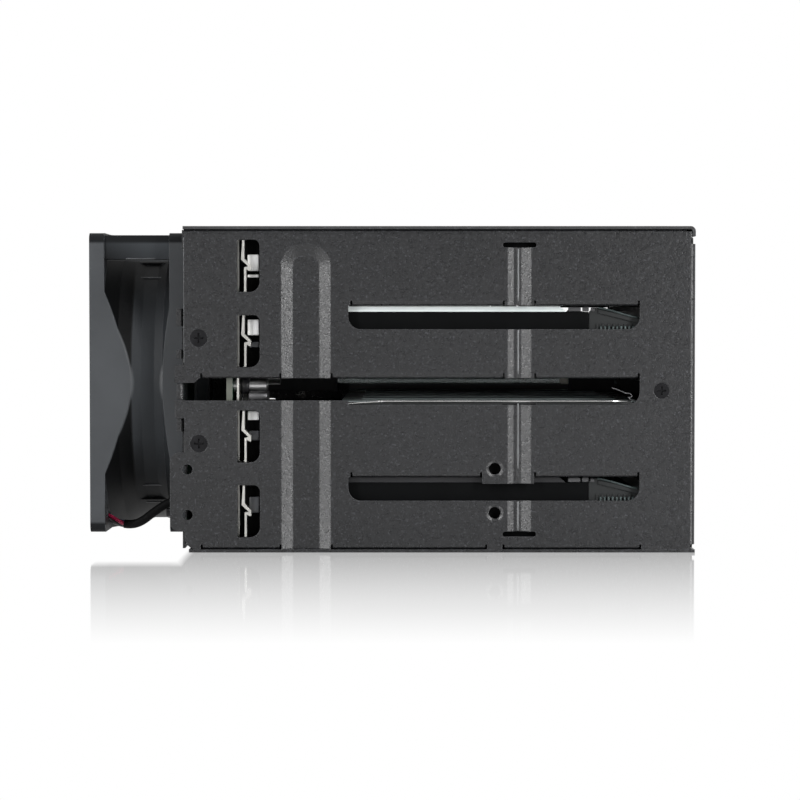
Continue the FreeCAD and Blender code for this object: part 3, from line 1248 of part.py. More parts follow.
def tray_bezel(floor):
    """Front of a tray: open frame for the lever, button housing, ribbed arms along the tray."""
    low = floor + TRAY_RUN_GAP
    base = low + BEZEL_LOW
    top = base + BEZEL_HEIGHT
    half = BEZEL_HALF_WIDTH
    mouth = LEVER_END + LEVER_GAP
    body = prism([(-half, base, 1.0), (half, base, 1.0), (half, top, 1.0), (-half, top, 1.0)],
                 cross_plane(BEZEL_REAR), vec(BEZEL_FRONT - BEZEL_REAR, 0, 0))
    cavity = block(BEZEL_REAR + BEZEL_WALL, BEZEL_FRONT + 1, -half + BEZEL_WALL, mouth,
                   base + BEZEL_WALL, top - BEZEL_WALL)
    y0 = LEVER_BARREL + 2 * BEZEL_FRAME - BEZEL_HALF_WIDTH
    y1 = LEVER_END - BEZEL_FRAME
    window = prism([(y0, base + BEZEL_FRAME, 2.0), (y1, base + BEZEL_FRAME, 2.0),
                    (y1, top - BEZEL_FRAME, 2.0), (y0, top - BEZEL_FRAME, 2.0)],
                   cross_plane(BEZEL_REAR - 1), vec(6, 0, 0))
    middle = low + BEZEL_LOW + BEZEL_HEIGHT / 2
    hole = block(BEZEL_REAR + 4, BEZEL_FRONT + 1, BUTTON_Y - BUTTON_WIDTH / 2 - BUTTON_GAP,
                 BUTTON_Y + BUTTON_WIDTH / 2 + BUTTON_GAP,
                 middle - BUTTON_HEIGHT / 2 - BUTTON_GAP, middle + BUTTON_HEIGHT / 2 + BUTTON_GAP)
    pin_hole = rod(PIN_RADIUS + PIN_FIT, vec(at(LEVER_PIVOT_U), -LEVER_PIVOT_Y, base - 1),
                   vec(0, 0, BEZEL_HEIGHT + 2))
    pipes = [rod(PIPE_RADIUS + PIPE_GAP, vec(at(BEZEL_REAR - 1), y, low + PIPE_RISE),
                 vec(BEZEL_DEPTH + 2, 0, 0)) for y in PIPE_YS]
    bezel = body.cut([cavity, window, hole, pin_hole] + pipes)
    arm = bezel_arm(low)
    return bezel.fuse([arm, mirrored(arm)]).removeSplitter()


def tray_lever(floor):
    """Swing handle with a row of air slots and a barrel round its pin."""
    low = floor + TRAY_RUN_GAP + BEZEL_LOW + BEZEL_WALL + LEVER_GAP
    height = BEZEL_HEIGHT - 2 * BEZEL_WALL - 2 * LEVER_GAP
    front = BEZEL_FRONT
    barrel = rod(LEVER_BARREL, vec(at(LEVER_PIVOT_U), -LEVER_PIVOT_Y, low), vec(0, 0, height))
    face = block(front - LEVER_FACE, front, -LEVER_PIVOT_Y, LEVER_END, low, low + height)
    rims = [block(front - 6.0, front, -LEVER_PIVOT_Y + 2, LEVER_END, low, low + LEVER_FACE),
            block(front - 6.0, front, -LEVER_PIVOT_Y + 2, LEVER_END, low + height - LEVER_FACE,
                  low + height),
            block(front - 6.0, front, LEVER_END - LEVER_FACE, LEVER_END, low, low + height)]
    lever = barrel.fuse([face] + rims)
    slots = []
    y = -LEVER_PIVOT_Y + 9.0
    while y + LEVER_SLOT < LEVER_END - 14.0:
        slots.append(block(front - LEVER_FACE - 1, front + 1, y, y + LEVER_SLOT, low + 4.5,
                           low + height - 4.5))
        y += LEVER_SLOT_PITCH
    trim = block(front, front + 4, -HALF, HALF, low - 1, low + height + 1)
    pin_hole = rod(PIN_RADIUS + PIN_FIT, vec(at(LEVER_PIVOT_U), -LEVER_PIVOT_Y, low - 1),
                   vec(0, 0, height + 2))
    return lever.cut(slots + [trim, pin_hole]).removeSplitter()


def lever_pin(floor):
    base = floor + TRAY_RUN_GAP + BEZEL_LOW
    return rod(PIN_RADIUS, vec(at(LEVER_PIVOT_U), -LEVER_PIVOT_Y, base + FIT),
               vec(0, 0, BEZEL_HEIGHT - 2 * FIT))


def release_button(floor):
    middle = floor + TRAY_RUN_GAP + BEZEL_LOW + BEZEL_HEIGHT / 2
    corners = [
        (BUTTON_Y - BUTTON_WIDTH / 2, middle - BUTTON_HEIGHT / 2, 1.0),
        (BUTTON_Y + BUTTON_WIDTH / 2, middle - BUTTON_HEIGHT / 2, 1.0),
        (BUTTON_Y + BUTTON_WIDTH / 2, middle + BUTTON_HEIGHT / 2, 1.0),
        (BUTTON_Y - BUTTON_WIDTH / 2, middle + BUTTON_HEIGHT / 2, 1.0)]
    button = prism(corners, cross_plane(BEZEL_FRONT - BUTTON_DEPTH), vec(BUTTON_DEPTH, 0, 0))
    dish = rod(14.0, vec(at(BEZEL_FRONT + 13.2), BUTTON_Y, middle - BUTTON_HEIGHT),
               vec(0, 0, 2 * BUTTON_HEIGHT))
    return button.cut(dish)


def light_pipes(floor):
    low = floor + TRAY_RUN_GAP
    return Part.makeCompound([
        rod(PIPE_RADIUS, vec(at(TRAY_REAR + 1), y, low + PIPE_RISE),
            vec(BEZEL_FRONT - TRAY_REAR - 1.2, 0, 0)) for y in PIPE_YS])


def build():
    nodes = {
        "side_plate_near": side_plate(True),
        "side_plate_far": mirrored(side_plate(False)),
        "top_cover": top_cover(),
        "bottom_plate": bottom_plate(),
        "centre_deck": centre_deck(),
        "centre_bar": centre_bar(),
        "light_guides": light_guides(),
        "guide_holders": guide_holders(),
        "side_screws": side_screws(),
        "cover_screws": cover_screws(True),
        "bottom_screws": cover_screws(False),
        "fan_panel": fan_panel(),
        "fan_frame": fan_frame(),
        "fan_rotor": fan_rotor(),
        "fan_screws": fan_screws(),
        "fan_lead": fan_lead(),
        "fan_plug": fan_plug(),
        "fan_header": fan_header(),
        "backplane_board": backplane_board(),
        "backplane_bracket": backplane_bracket(),
        "board_standoffs": board_standoffs(),
        "capacitors": capacitors(),
        "data_ports": data_ports(),
        "power_inlets": power_inlets(),
    }
    for number, floor in enumerate(FLOORS, 1):
        nodes["drive_socket_%d" % number] = drive_socket(floor)
        nodes["tray_frame_%d" % number] = tray_frame(floor)
        nodes["tray_bezel_%d" % number] = tray_bezel(floor)
        nodes["tray_lever_%d" % number] = tray_lever(floor)
        nodes["lever_pin_%d" % number] = lever_pin(floor)
        nodes["release_button_%d" % number] = release_button(floor)
        nodes["light_pipes_%d" % number] = light_pipes(floor)
    os.makedirs("parts", exist_ok=True)
    for name, shape in nodes.items():
        if not shape.isValid():
            print("invalid shape", name)
        print(name, len(shape.Solids), round(shape.Volume, 1))
        shape.exportStep("parts/%s.step" % name)


build()
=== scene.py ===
# %% [markdown]
# # Finishing a hot swap drive cage
# The imported model already holds every rigid piece of the cage: folded steel plates, four trays, a
# backplane and a deep fan. This lesson dresses it. Each finish is a small tree of shader nodes, and the
# pieces that the frame leaves out (wires, pads standing in for shade, clips, ribs, mould lines and rods
# standing in for highlights) are surfaces worked out with numpy. We start by loading the frame, because
# the new pieces are placed on what it holds.

# %% Load the frame
import math

import bmesh
import bpy
import numpy as np
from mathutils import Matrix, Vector


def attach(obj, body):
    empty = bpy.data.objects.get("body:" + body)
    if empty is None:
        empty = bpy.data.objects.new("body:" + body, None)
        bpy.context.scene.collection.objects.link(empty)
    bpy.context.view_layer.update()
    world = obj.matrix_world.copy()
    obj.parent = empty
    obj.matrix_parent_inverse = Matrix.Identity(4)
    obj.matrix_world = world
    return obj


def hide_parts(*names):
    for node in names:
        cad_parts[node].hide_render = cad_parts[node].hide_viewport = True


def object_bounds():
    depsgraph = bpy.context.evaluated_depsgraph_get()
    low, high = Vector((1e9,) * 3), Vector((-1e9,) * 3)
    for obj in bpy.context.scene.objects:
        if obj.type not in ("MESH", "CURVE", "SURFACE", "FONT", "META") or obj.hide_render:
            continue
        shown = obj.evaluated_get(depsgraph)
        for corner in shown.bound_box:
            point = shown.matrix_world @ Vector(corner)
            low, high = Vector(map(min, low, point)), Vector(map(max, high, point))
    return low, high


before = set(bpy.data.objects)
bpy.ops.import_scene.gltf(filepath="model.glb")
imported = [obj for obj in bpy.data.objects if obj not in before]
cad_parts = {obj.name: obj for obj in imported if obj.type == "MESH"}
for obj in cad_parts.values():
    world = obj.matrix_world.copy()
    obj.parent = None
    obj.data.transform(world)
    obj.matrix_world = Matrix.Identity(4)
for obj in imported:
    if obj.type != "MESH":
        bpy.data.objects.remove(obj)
MM = 0.001
cad_low, cad_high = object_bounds()
print("cad box", [round(v, 4) for v in cad_low], [round(v, 4) for v in cad_high])

# %% [markdown]
# ## The camera
# A product picture is taken with a long lens a metre away, so the side looks almost flat. The camera
# stands square to the -Y side at two thirds of the cage's height and tilts down a little, which lets the
# floor in below. The focal length follows from how wide the object should sit in the frame.

# %% Camera
CAMERA_PLACE = (3.8 * MM, -1003 * MM, 92 * MM)
CAMERA_TILT = 1.945
LENS = 106.0
SENSOR_WIDTH = 36.0
NEAREST, FARTHEST = 0.05, 30.0


def make_camera():
    """A camera looking along +Y: its own -Z axis is turned up by 90 degrees less the tilt."""
    data = bpy.data.cameras.new("camera")
    data.lens = LENS
    data.sensor_width = SENSOR_WIDTH
    data.clip_start = NEAREST
    data.clip_end = FARTHEST
    camera = bpy.data.objects.new("camera", data)
    camera.location = CAMERA_PLACE
    camera.rotation_euler = (math.radians(90 - CAMERA_TILT), 0, 0)
    bpy.context.scene.collection.objects.link(camera)
    bpy.context.scene.camera = camera
    return camera


camera = make_camera()
print("camera", camera.location[:], "lens", camera.data.lens)

# %% [markdown]
# ## Surfaces as arrays
# Every new piece is a grid of points: a function of two parameters gives the points all at once, and the
# quads between neighbours follow from the grid's size. A closed direction joins its last row to its
# first. One helper joins several grids into one piece, and another turns the result into a mesh that
# rides on a body of the frame.


# %% Grid helpers
def grid_faces(rows, columns, close_rows, close_columns):
    """Quads of a grid: each joins a point, its right neighbour, and the two below them."""
    last_row = rows if close_rows else rows - 1
    last_column = columns if close_columns else columns - 1
    i, j = np.meshgrid(np.arange(last_row), np.arange(last_column), indexing="ij")
    down = (i + 1) % rows
    right = (j + 1) % columns
    quads = np.stack([i * columns + j, i * columns + right, down * columns + right,
                      down * columns + j], axis=-1)
    return quads.reshape(-1, 4)


def joined(parts):
    """Several (points, quads) pairs as one: each part's indices are raised by the points before it."""
    points = np.concatenate([p for p, q in parts])
    starts = np.cumsum([0] + [len(p) for p, q in parts[:-1]])
    quads = np.concatenate([q + s for (p, q), s in zip(parts, starts)])
    return points, quads


print("grid helpers ready")


# %% Mesh helpers
SAME_POINT = 1e-6
NO_LENGTH = 1e-7


def weld(mesh):
    """Merges points closer than a micron and turns all faces outwards."""
    work = bmesh.new()
    work.from_mesh(mesh)
    bmesh.ops.remove_doubles(work, verts=work.verts, dist=SAME_POINT)
    bmesh.ops.dissolve_degenerate(work, edges=work.edges, dist=NO_LENGTH)
    bmesh.ops.recalc_face_normals(work, faces=work.faces)
    work.to_mesh(mesh)
    work.free()


def make_piece(name, part, body, material, smooth=True):
    """A mesh object from points and quads, merged at its seams, that rides on a body."""
    points, quads = part
    mesh = bpy.data.meshes.new(name)
    mesh.from_pydata(points.tolist(), [], quads.tolist())
    mesh.validate()
    mesh.update()
    piece = bpy.data.objects.new(name, mesh)
    bpy.context.scene.collection.objects.link(piece)
    weld(mesh)
    mesh.polygons.foreach_set("use_smooth", [smooth] * len(mesh.polygons))
    mesh.materials.append(material)
    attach(piece, body)
    print(name, "on", body, len(mesh.polygons), "faces")
    return piece


print("mesh helpers ready")

# %% [markdown]
# Three shapes cover nearly everything: a block with rounded edges, a turned piece, and a tube along a
# path. The block is a sphere whose eighths are pushed apart to the corners of an inner box, so its
# flats are single long quads. The turned piece spins a profile round an axis. The tube carries a circle
# along a path and keeps it square to the path.


# %% Block and turned piece
def rounded_block(low, high, radius, steps=2):
    """Sphere of the edge radius, each point moved by the inner box's half size with its normal's sign."""
    low, high = np.asarray(low, float), np.asarray(high, float)
    centre, half = (low + high) / 2, (high - low) / 2
    radius = min(radius, *half * 0.999)
    quarter = np.linspace(0, np.pi / 2, steps + 1)
    around = np.concatenate([quarter + k * np.pi / 2 for k in range(4)])
    side = np.repeat([[1, 1], [-1, 1], [-1, -1], [1, -1]], steps + 1, axis=0)
    rise = np.concatenate([quarter - np.pi / 2, quarter])
    level = np.repeat([-1, 1], steps + 1)
    normal = np.stack([
        np.outer(np.cos(rise), np.cos(around)),
        np.outer(np.cos(rise), np.sin(around)),
        np.outer(np.sin(rise), np.ones_like(around))], axis=-1)
    sign = np.stack([
        np.broadcast_to(side[:, 0], normal.shape[:2]),
        np.broadcast_to(side[:, 1], normal.shape[:2]),
        np.broadcast_to(level[:, None], normal.shape[:2])], axis=-1)
    points = centre + sign * (half - radius) + radius * normal
    quads = grid_faces(len(rise), len(around), False, True)
    bottom = np.arange(4) * (steps + 1)
    top = (len(rise) - 1) * len(around) + bottom
    return points.reshape(-1, 3), np.concatenate([quads, [bottom, top]])


def turned(profile, centre, axis, sides=32):
    """Profile of (along, radius) pairs spun round an axis: centre + along * axis + radius * (cos, sin)."""
    profile = np.asarray(profile, float)
    axis = np.asarray(axis, float) / np.linalg.norm(axis)
    helper = np.array([0.0, 0.0, 1.0]) if abs(axis[2]) < 0.9 else np.array([0.0, 1.0, 0.0])
    first = np.cross(axis, helper)
    first /= np.linalg.norm(first)
    second = np.cross(axis, first)
    turn = np.linspace(0, 2 * np.pi, sides, endpoint=False)
    ring = np.outer(np.cos(turn), first) + np.outer(np.sin(turn), second)
    points = (np.asarray(centre, float) + profile[:, 0, None, None] * axis
              + profile[:, 1, None, None] * ring[None])
    return points.reshape(-1, 3), grid_faces(len(profile), sides, False, True)


print("block and turned piece ready")


# %% Tube
def path_frames(path):
    """Unit tangents by central differences, and two normals made from one fixed helper direction."""
    tangent = np.gradient(path, axis=0)
    tangent /= np.linalg.norm(tangent, axis=1, keepdims=True)
    helper = np.array([0.0, 1.0, 0.0])
    first = helper - (tangent @ helper)[:, None] * tangent
    first /= np.linalg.norm(first, axis=1, keepdims=True)
    return tangent, first, np.cross(tangent, first)


def tube(path, radius, sides=16):
    """Circle of the given radius carried along a path, square to it, with closed ends."""
    tangent, first, second = path_frames(path)
    turn = np.linspace(0, 2 * np.pi, sides, endpoint=False)
    ring = (np.cos(turn)[None, :, None] * first[:, None, :]
            + np.sin(turn)[None, :, None] * second[:, None, :])
    points = path[:, None, :] + radius * ring
    ends = np.stack([np.repeat(path[:1], sides, axis=0), np.repeat(path[-1:], sides, axis=0)])
    points = np.concatenate([ends[:1], points, ends[1:]])
    return points.reshape(-1, 3), grid_faces(len(path) + 2, sides, False, True)


print("tube ready")

# %% [markdown]
# Lengths on the cage are easiest to read in millimetres, forwards from its rear edge. So each shape gets
# a short form that takes such lengths, and a smooth curve through a few points in one upright plane
# serves the bent strips and springs.

# %% Shapes placed in millimetres
FAN_LENGTH = 39 * MM
REAR_EDGE_X = cad_low.x + FAN_LENGTH


def at(u):
    """X of a length measured forwards from the cage's rear edge, in millimetres."""
    return REAR_EDGE_X + u * MM


def block_at(u0, u1, y0, y1, z0, z1, radius):
    """A rounded block from its ends in millimetres."""
    return rounded_block((at(u0), y0 * MM, z0 * MM), (at(u1), y1 * MM, z1 * MM), radius * MM)


def turned_at(profile, u, y, z, sides):
    """A piece turned about the X direction, from a profile and a place in millimetres."""
    return turned(np.array(profile) * MM, (at(u), y * MM, z * MM), (1, 0, 0), sides)


def upright_rod(u, y, z0, z1, count, radius, sides=8):
    """A straight round rod along Z, from z0 to z1 in the given number of points."""
    heights = np.linspace(z0, z1, count) * MM
    path = np.stack([np.full(count, at(u)), np.full(count, y * MM), heights], axis=-1)
    return tube(path, radius * MM, sides)


def curve_at(y, points, count):
    """Catmull-Rom curve: each span is the cubic that meets its neighbours' chords halfway."""
    p = np.array([(at(u), y * MM, z * MM) for u, z in points])
    p = np.concatenate([2 * p[:1] - p[1:2], p, 2 * p[-1:] - p[-2:-1]])
    t = np.linspace(0, 1, count, endpoint=False)[:, None]
    spans = [0.5 * (2 * b + (c - a) * t + (2 * a - 5 * b + 4 * c - d) * t ** 2
                    + (3 * b - a - 3 * c + d) * t ** 3)
             for a, b, c, d in zip(p, p[1:], p[2:], p[3:])]
    return np.concatenate(spans + [p[-2:-1]])


print("rear edge at x", round(REAR_EDGE_X, 4))

# %% [markdown]
# ## Finishes as node trees
# All finishes share one skeleton: object coordinates drive noise, noise drives bump, roughness and a
# little colour, and the result goes into a Principled shader. Real edges are never knife sharp, so the
# bevel node rounds the shading at corners by a fraction of a millimetre before the bump is added. A
# first class holds what any node tree needs, and a second one adds the shader and its textures.


# %% Node helpers
class Wiring:
    """A thin wrapper round an emptied node tree: add() makes a node, and link() joins two sockets."""

    def __init__(self, tree):
        tree.nodes.clear()
        self.nodes = tree.nodes
        self.links = tree.links

    def add(self, kind, **values):
        node = self.nodes.new(kind)
        for key, value in values.items():
            setattr(node, key, value)
        return node

    def link(self, source, target):
        self.links.new(source, target)

    def feed(self, socket, value):
        """Gives a socket its value: a link from another socket, a colour or a number."""
        if isinstance(value, bpy.types.NodeSocket):
            self.link(value, socket)
        elif isinstance(value, tuple):
            socket.default_value = (*value, 1.0)
        else:
            socket.default_value = value

    def axes(self, vector):
        """The X, Y and Z of a vector."""
        split = self.add("ShaderNodeSeparateXYZ")
        self.link(vector, split.inputs[0])
        return split.outputs["X"], split.outputs["Y"], split.outputs["Z"]

    def maths(self, operation, first, *others):
        """One operation on one value, or on two or more in turn, each a socket or a number."""
        for second in others or (None,):
            node = self.add("ShaderNodeMath", operation=operation)
            self.feed(node.inputs[0], first)
            if second is not None:
                self.feed(node.inputs[1], second)
            first = node.outputs["Value"]
        return first

    def span(self, value, low, high, start=0.3, end=0.7):
        """A value between start and end brought to the range from low to high, and held there."""
        node = self.add("ShaderNodeMapRange")
        for name, number in (("From Min", start), ("From Max", end), ("To Min", low), ("To Max", high)):
            node.inputs[name].default_value = number
        self.link(value, node.inputs["Value"])
        return node.outputs["Result"]

    def above(self, value, start, end):
        """A mask that rises from 0 at the start to 1 at the end."""
        return self.span(value, 0.0, 1.0, start, end)

    def below(self, value, start, end):
        """A mask that falls from 1 at the start to 0 at the end."""
        return self.span(value, 1.0, 0.0, start, end)


print("node helpers ready")


# %% Material skeleton
class Tree(Wiring):
    """A material with a Principled shader, and the textures and bumps that feed it."""

    def __init__(self, name):
        self.material = bpy.data.materials.new(name)
        self.material.use_nodes = True
        super().__init__(self.material.node_tree)
        self.surface = self.add("ShaderNodeBsdfPrincipled")
        output = self.add("ShaderNodeOutputMaterial")
        self.link(self.surface.outputs["BSDF"], output.inputs["Surface"])
        self.place = self.add("ShaderNodeTexCoord").outputs["Object"]

    def noise(self, scale, detail=3.0, roughness=0.5, stretch=None):
        """Noise with the given number of cells per metre, stretched along the axes if asked."""
        place = self.place
        if stretch:
            mapping = self.add("ShaderNodeMapping")
            mapping.inputs["Scale"].default_value = stretch
            self.link(self.place, mapping.inputs["Vector"])
            place = mapping.outputs["Vector"]
        node = self.add("ShaderNodeTexNoise")
        node.inputs["Scale"].default_value = scale
        node.inputs["Detail"].default_value = detail
        node.inputs["Roughness"].default_value = roughness
        self.link(place, node.inputs["Vector"])
        return node.outputs["Fac"]

    def mix(self, factor, first, second):
        """Colour mix: first where the factor is 0, second where it is 1. Colours or sockets."""
        node = self.add("ShaderNodeMix", data_type="RGBA")
        pair = [s for s in node.inputs if s.type == "RGBA"]
        for socket, value in zip(pair, (first, second)):
            self.feed(socket, value)
        self.link(factor, node.inputs["Factor"])
        return [s for s in node.outputs if s.type == "RGBA"][0]

    def bump(self, height, distance, strength=1.0, under=None):
        """A normal tilted by a height of the given distance, on top of another normal if asked."""
        node = self.add("ShaderNodeBump")
        node.inputs["Distance"].default_value = distance
        node.inputs["Strength"].default_value = strength
        self.link(height, node.inputs["Height"])
        if under is not None:
            self.link(under, node.inputs["Normal"])
        return node.outputs["Normal"]

    def soft_edges(self, radius):
        """The normal of the same shape with its edges rounded."""
        node = self.add("ShaderNodeBevel", samples=3)
        node.inputs["Radius"].default_value = radius
        return node.outputs["Normal"]

    def set(self, **values):
        """Sets or links sockets of the Principled shader; names use underscores for spaces."""
        for key, value in values.items():
            self.feed(self.surface.inputs[key.replace("_", " ")], value)


print("material skeleton ready")


# %% Wear and tints
def wear_and_edge_highlight(tree, radius):
    """Share of edge wear and painted edge highlight: how far the bevelled normal leaves the true one,
    broken up by noise.
    """
    dot = tree.add("ShaderNodeVectorMath", operation="DOT_PRODUCT")
    tree.link(tree.soft_edges(radius), dot.inputs[0])
    tree.link(tree.add("ShaderNodeNewGeometry").outputs["True Normal"], dot.inputs[1])
    edge = tree.below(dot.outputs["Value"], 0.82, 0.97)
    patches = tree.above(tree.noise(240, 4.0), 0.46, 0.62)
    return tree.maths("MULTIPLY", edge, patches)


def times(colour, factor, lift=0.0):
    """A colour whose parts are multiplied by a factor, raised by a lift and held at 1."""
    return tuple(min(1.0, part * factor + lift) for part in colour)


def shaded(tree, mask, colour, dark, light):
    """One colour made darker where the mask is low and lighter where it is high."""
    return tree.mix(tree.above(mask, 0.3, 0.7), times(colour, dark), times(colour, light))


print("wear and tints ready")

# %% [markdown]
# ### Textured powder coat
# The plates carry a charcoal powder coat. The powder melts into a fine pebbled skin, about a millimetre
# from crest to crest, with pits between. Painted shade darkens the pits, and light flecks are painted
# glints. Two noises of different size make the pebbles, and a third, much larger one keeps the grey from
# being even. Edges are lighter, partly as wear where bends rub against a bay and partly as a painted
# highlight. The cover faces up and gathers dust, so its coat is rougher and a shade lighter.

# %% Powder coat
PEBBLES, GLINTS, PITS = 760, 1250, 1700  # cells per metre


def powder_coat(name, colour, gloss):
    """Broad random tone, then pits darkened by painted shade, then painted glints, then edges lighter as
    wear and painted highlight, over two sizes of bump.
    """
    tree = Tree(name)
    shade = shaded(tree, tree.noise(14, 2.0), colour, 0.84, 1.18)
    pebbles = tree.noise(PEBBLES, 3.0, 0.6)
    pits = tree.noise(PITS, 2.0, 0.6)
    # Painted shade: the pits are darker where the bump sinks.
    pit_shaded = tree.mix(tree.span(pits, 0.7, 0.0, 0.38, 0.50), shade, times(colour, 0.3))
    # Painted glints: light flecks from a noise of their own.
    glints = tree.span(tree.noise(GLINTS, 2.0, 0.7), 0.0, 0.9, 0.58, 0.72)
    glinted = tree.mix(glints, pit_shaded, times(colour, 5.5))
    # Edges lighter: partly wear, partly a painted highlight.
    worn_and_highlit = tree.mix(wear_and_edge_highlight(tree, 0.5 * MM), glinted, times(colour, 6.0))
    base = tree.bump(pebbles, 0.35 * MM, 0.45, tree.soft_edges(0.6 * MM))
    tree.set(Base_Color=worn_and_highlit, Normal=tree.bump(pits, 0.16 * MM, 0.5, base), Specular_IOR_Level=0.6,
             Roughness=tree.span(pebbles, gloss - 0.05, gloss + 0.09))
    return tree.material


plate_finish = powder_coat("charcoal_powder_coat", (0.0100, 0.0103, 0.0115), 0.29)
cover_finish = powder_coat("dusty_powder_coat", (0.0125, 0.0128, 0.0138), 0.58)
print("made", plate_finish.name, cover_finish.name)

# %% [markdown]
# ### Smooth paint
# The trays are painted, not powder coated: the film is smooth, so it mirrors the slots beside it at a low
# angle. A slow noise gives it a faint orange peel, and dust lifts the roughness. The deck between bays
# two and three carries painted light: grey streaks on its flat are a painted reflection, and black on
# its edges above and below is painted shade.


# %% Smooth paint
def smooth_paint(name, colour, gloss, shine):
    """Dust in soft clouds, edges lighter as wear and painted highlight, and a shallow orange peel."""
    tree = Tree(name)
    peel = tree.noise(190, 2.0)
    dust = tree.noise(55, 5.0, 0.6)
    shade = shaded(tree, dust, colour, 1.0, 1.35)
    # Edges lighter: partly wear, partly a painted highlight.
    worn_and_highlit = tree.mix(wear_and_edge_highlight(tree, 0.3 * MM), shade, times(colour, 3.0, 0.004))
    tree.set(Base_Color=worn_and_highlit, Normal=tree.bump(peel, 0.08 * MM, 0.35, tree.soft_edges(0.3 * MM)),
             Specular_IOR_Level=shine, Roughness=tree.span(dust, gloss, gloss + 0.14))
    return tree.material


tray_finish = smooth_paint("satin_black_paint", (0.0028, 0.0030, 0.0032), 0.42, 0.04)
print("made", tray_finish.name)

# %% Deck with painted reflection and shade
FLAT_LOW, FLAT_HIGH = (59.55 * MM, 59.75 * MM), (60.2 * MM, 60.6 * MM)
# Colours of the painted reflection on the flat, and of the painted shade on its edges.
REFLECTION_DARK, REFLECTION_LIGHT = (0.20, 0.235, 0.235), (0.30, 0.335, 0.335)
EDGE_SHADE = (0.008, 0.009, 0.0095)


def deck_with_painted_light(name):
    """Painted reflection in grey streaks between the heights of the flat, and painted shade in black below
    and above them.
    """
    tree = Tree(name)
    height = tree.axes(tree.place)[2]
    # Painted shade: black above and below the flat.
    edges = tree.maths("MAXIMUM", tree.above(height, *FLAT_HIGH), tree.below(height, *FLAT_LOW))
    streak = tree.noise(120, 4.0, 0.6, (0.12, 1.0, 1.0))
    # Painted reflection: grey streaks drawn out along X on the flat.
    grey = tree.mix(tree.above(streak, 0.3, 0.7), REFLECTION_DARK, REFLECTION_LIGHT)
    normal = tree.bump(streak, 0.05 * MM, 0.4, tree.soft_edges(0.3 * MM))
    tree.set(Base_Color=tree.mix(edges, grey, EDGE_SHADE), Normal=normal,
             Roughness=tree.span(streak, 0.22, 0.38), Coat_Weight=0.3, Coat_Roughness=0.1)
    return tree.material


deck_finish = deck_with_painted_light("deck_with_painted_light")
print("made", deck_finish.name)

# %% [markdown]
# ### Moulded plastic
# Tray fronts, levers and the fan frame come from textured moulds. The spark eroded texture is much
# finer than powder coat, about a quarter of a millimetre, and flow in the mould leaves soft clouds of
# lighter grey. One function serves them all with another colour, gloss, depth of texture and shine.

# %% Moulded plastic
SPARKS = 4200  # cells per metre


def moulded(name, colour, gloss, grain=1.0, shine=0.5):
    """Soft clouds of grey, edges lighter as rubbing and painted highlight, and a fine bump whose depth
    grows with the grain.
    """
    tree = Tree(name)
    cloud = tree.noise(38, 4.0, 0.55)
    shade = shaded(tree, cloud, colour, 0.88, 1.18)
    # Edges lighter: partly rubbing, partly a painted highlight.
    rubbed_and_highlit = tree.mix(wear_and_edge_highlight(tree, 0.3 * MM), shade, times(colour, 2.0, 0.01))
    normal = tree.bump(tree.noise(SPARKS, 2.0, 0.6), 0.03 * MM * grain, 0.5, tree.soft_edges(0.4 * MM))
    tree.set(Base_Color=rubbed_and_highlit, Normal=normal, Roughness=tree.span(cloud, gloss, gloss + 0.1),
             Specular_IOR_Level=shine)
    return tree.material


bezel_finish = moulded("textured_black_plastic", (0.015, 0.0165, 0.0168), 0.50, 1.4, 0.3)
lever_finish = moulded("satin_black_plastic", (0.032, 0.033, 0.036), 0.40)
button_finish = moulded("smooth_grey_plastic", (0.075, 0.078, 0.085), 0.30, 0.4)
socket_finish = moulded("connector_black_plastic", (0.018, 0.018, 0.02), 0.38, 0.5, 0.35)
# Black for the pads that stand in for the shade in the windows.
shade_pad_finish = moulded("shade_pad_black", (0.002, 0.002, 0.0022), 0.8, 3.0, 0.06)
clip_finish = moulded("dull_clip_grey", (0.10, 0.10, 0.104), 0.62, 2.0, 0.15)
# A little lighter than the fan: for its mould seams and for painted highlights on the posts' edges.
seam_highlight_finish = moulded("seam_and_highlight_plastic", (0.055, 0.057, 0.06), 0.34, 0.3, 0.3)
nylon_finish = moulded("natural_nylon", (0.78, 0.76, 0.69), 0.42, 0.6)
white_finish = moulded("white_polyamide", (0.97, 0.97, 0.97), 0.42, 0.6)
rotor_finish = moulded("rotor_plastic", (0.030, 0.031, 0.035), 0.27, 0.3)
# Light grey for the thin rods that stand in for highlights on the plates.
highlight_finish = moulded("highlight_grey_plastic", (0.16, 0.165, 0.17), 0.30, 0.3)
# Grip plastic, also for the lighter ridge that stands in for a highlight on each arm.
grip_finish = moulded("grip_and_highlight_plastic", (0.036, 0.050, 0.050), 0.42)
print("made twelve moulded finishes")

# %% [markdown]
# The fan's frame is one moulding with several faces: textured flanges, a barrel set back between them,
# and corner posts. A mask made from a point's place picks each of them. The barrel is painted near
# black as shade, and a lighter grey towards the front, where its cone opens and catches light. The upper
# posts are painted from dark to light along the same way, and the lower post and the ends of the
# flanges are painted darker as shade.

# %% Masks of the fan frame
FAN_AXIS = 66.8 * MM
BARREL_REACH = (59.4 * MM, 59.8 * MM)
BEHIND_REAR_FLANGE = (REAR_EDGE_X - 33.3 * MM, REAR_EDGE_X - 32.8 * MM)
BEFORE_FRONT_FLANGE = (REAR_EDGE_X - 7.4 * MM, REAR_EDGE_X - 6.8 * MM)
UPPER_POST_FOOT, LOWER_POST_TOP = (116.0 * MM, 116.4 * MM), (17.6 * MM, 18.0 * MM)
CONE_START = (REAR_EDGE_X - 22.6 * MM, REAR_EDGE_X - 22.0 * MM)
CONE_MIDDLE, FLANGE_ENDS = (22 * MM, 48 * MM), (55.6 * MM, 56.6 * MM)


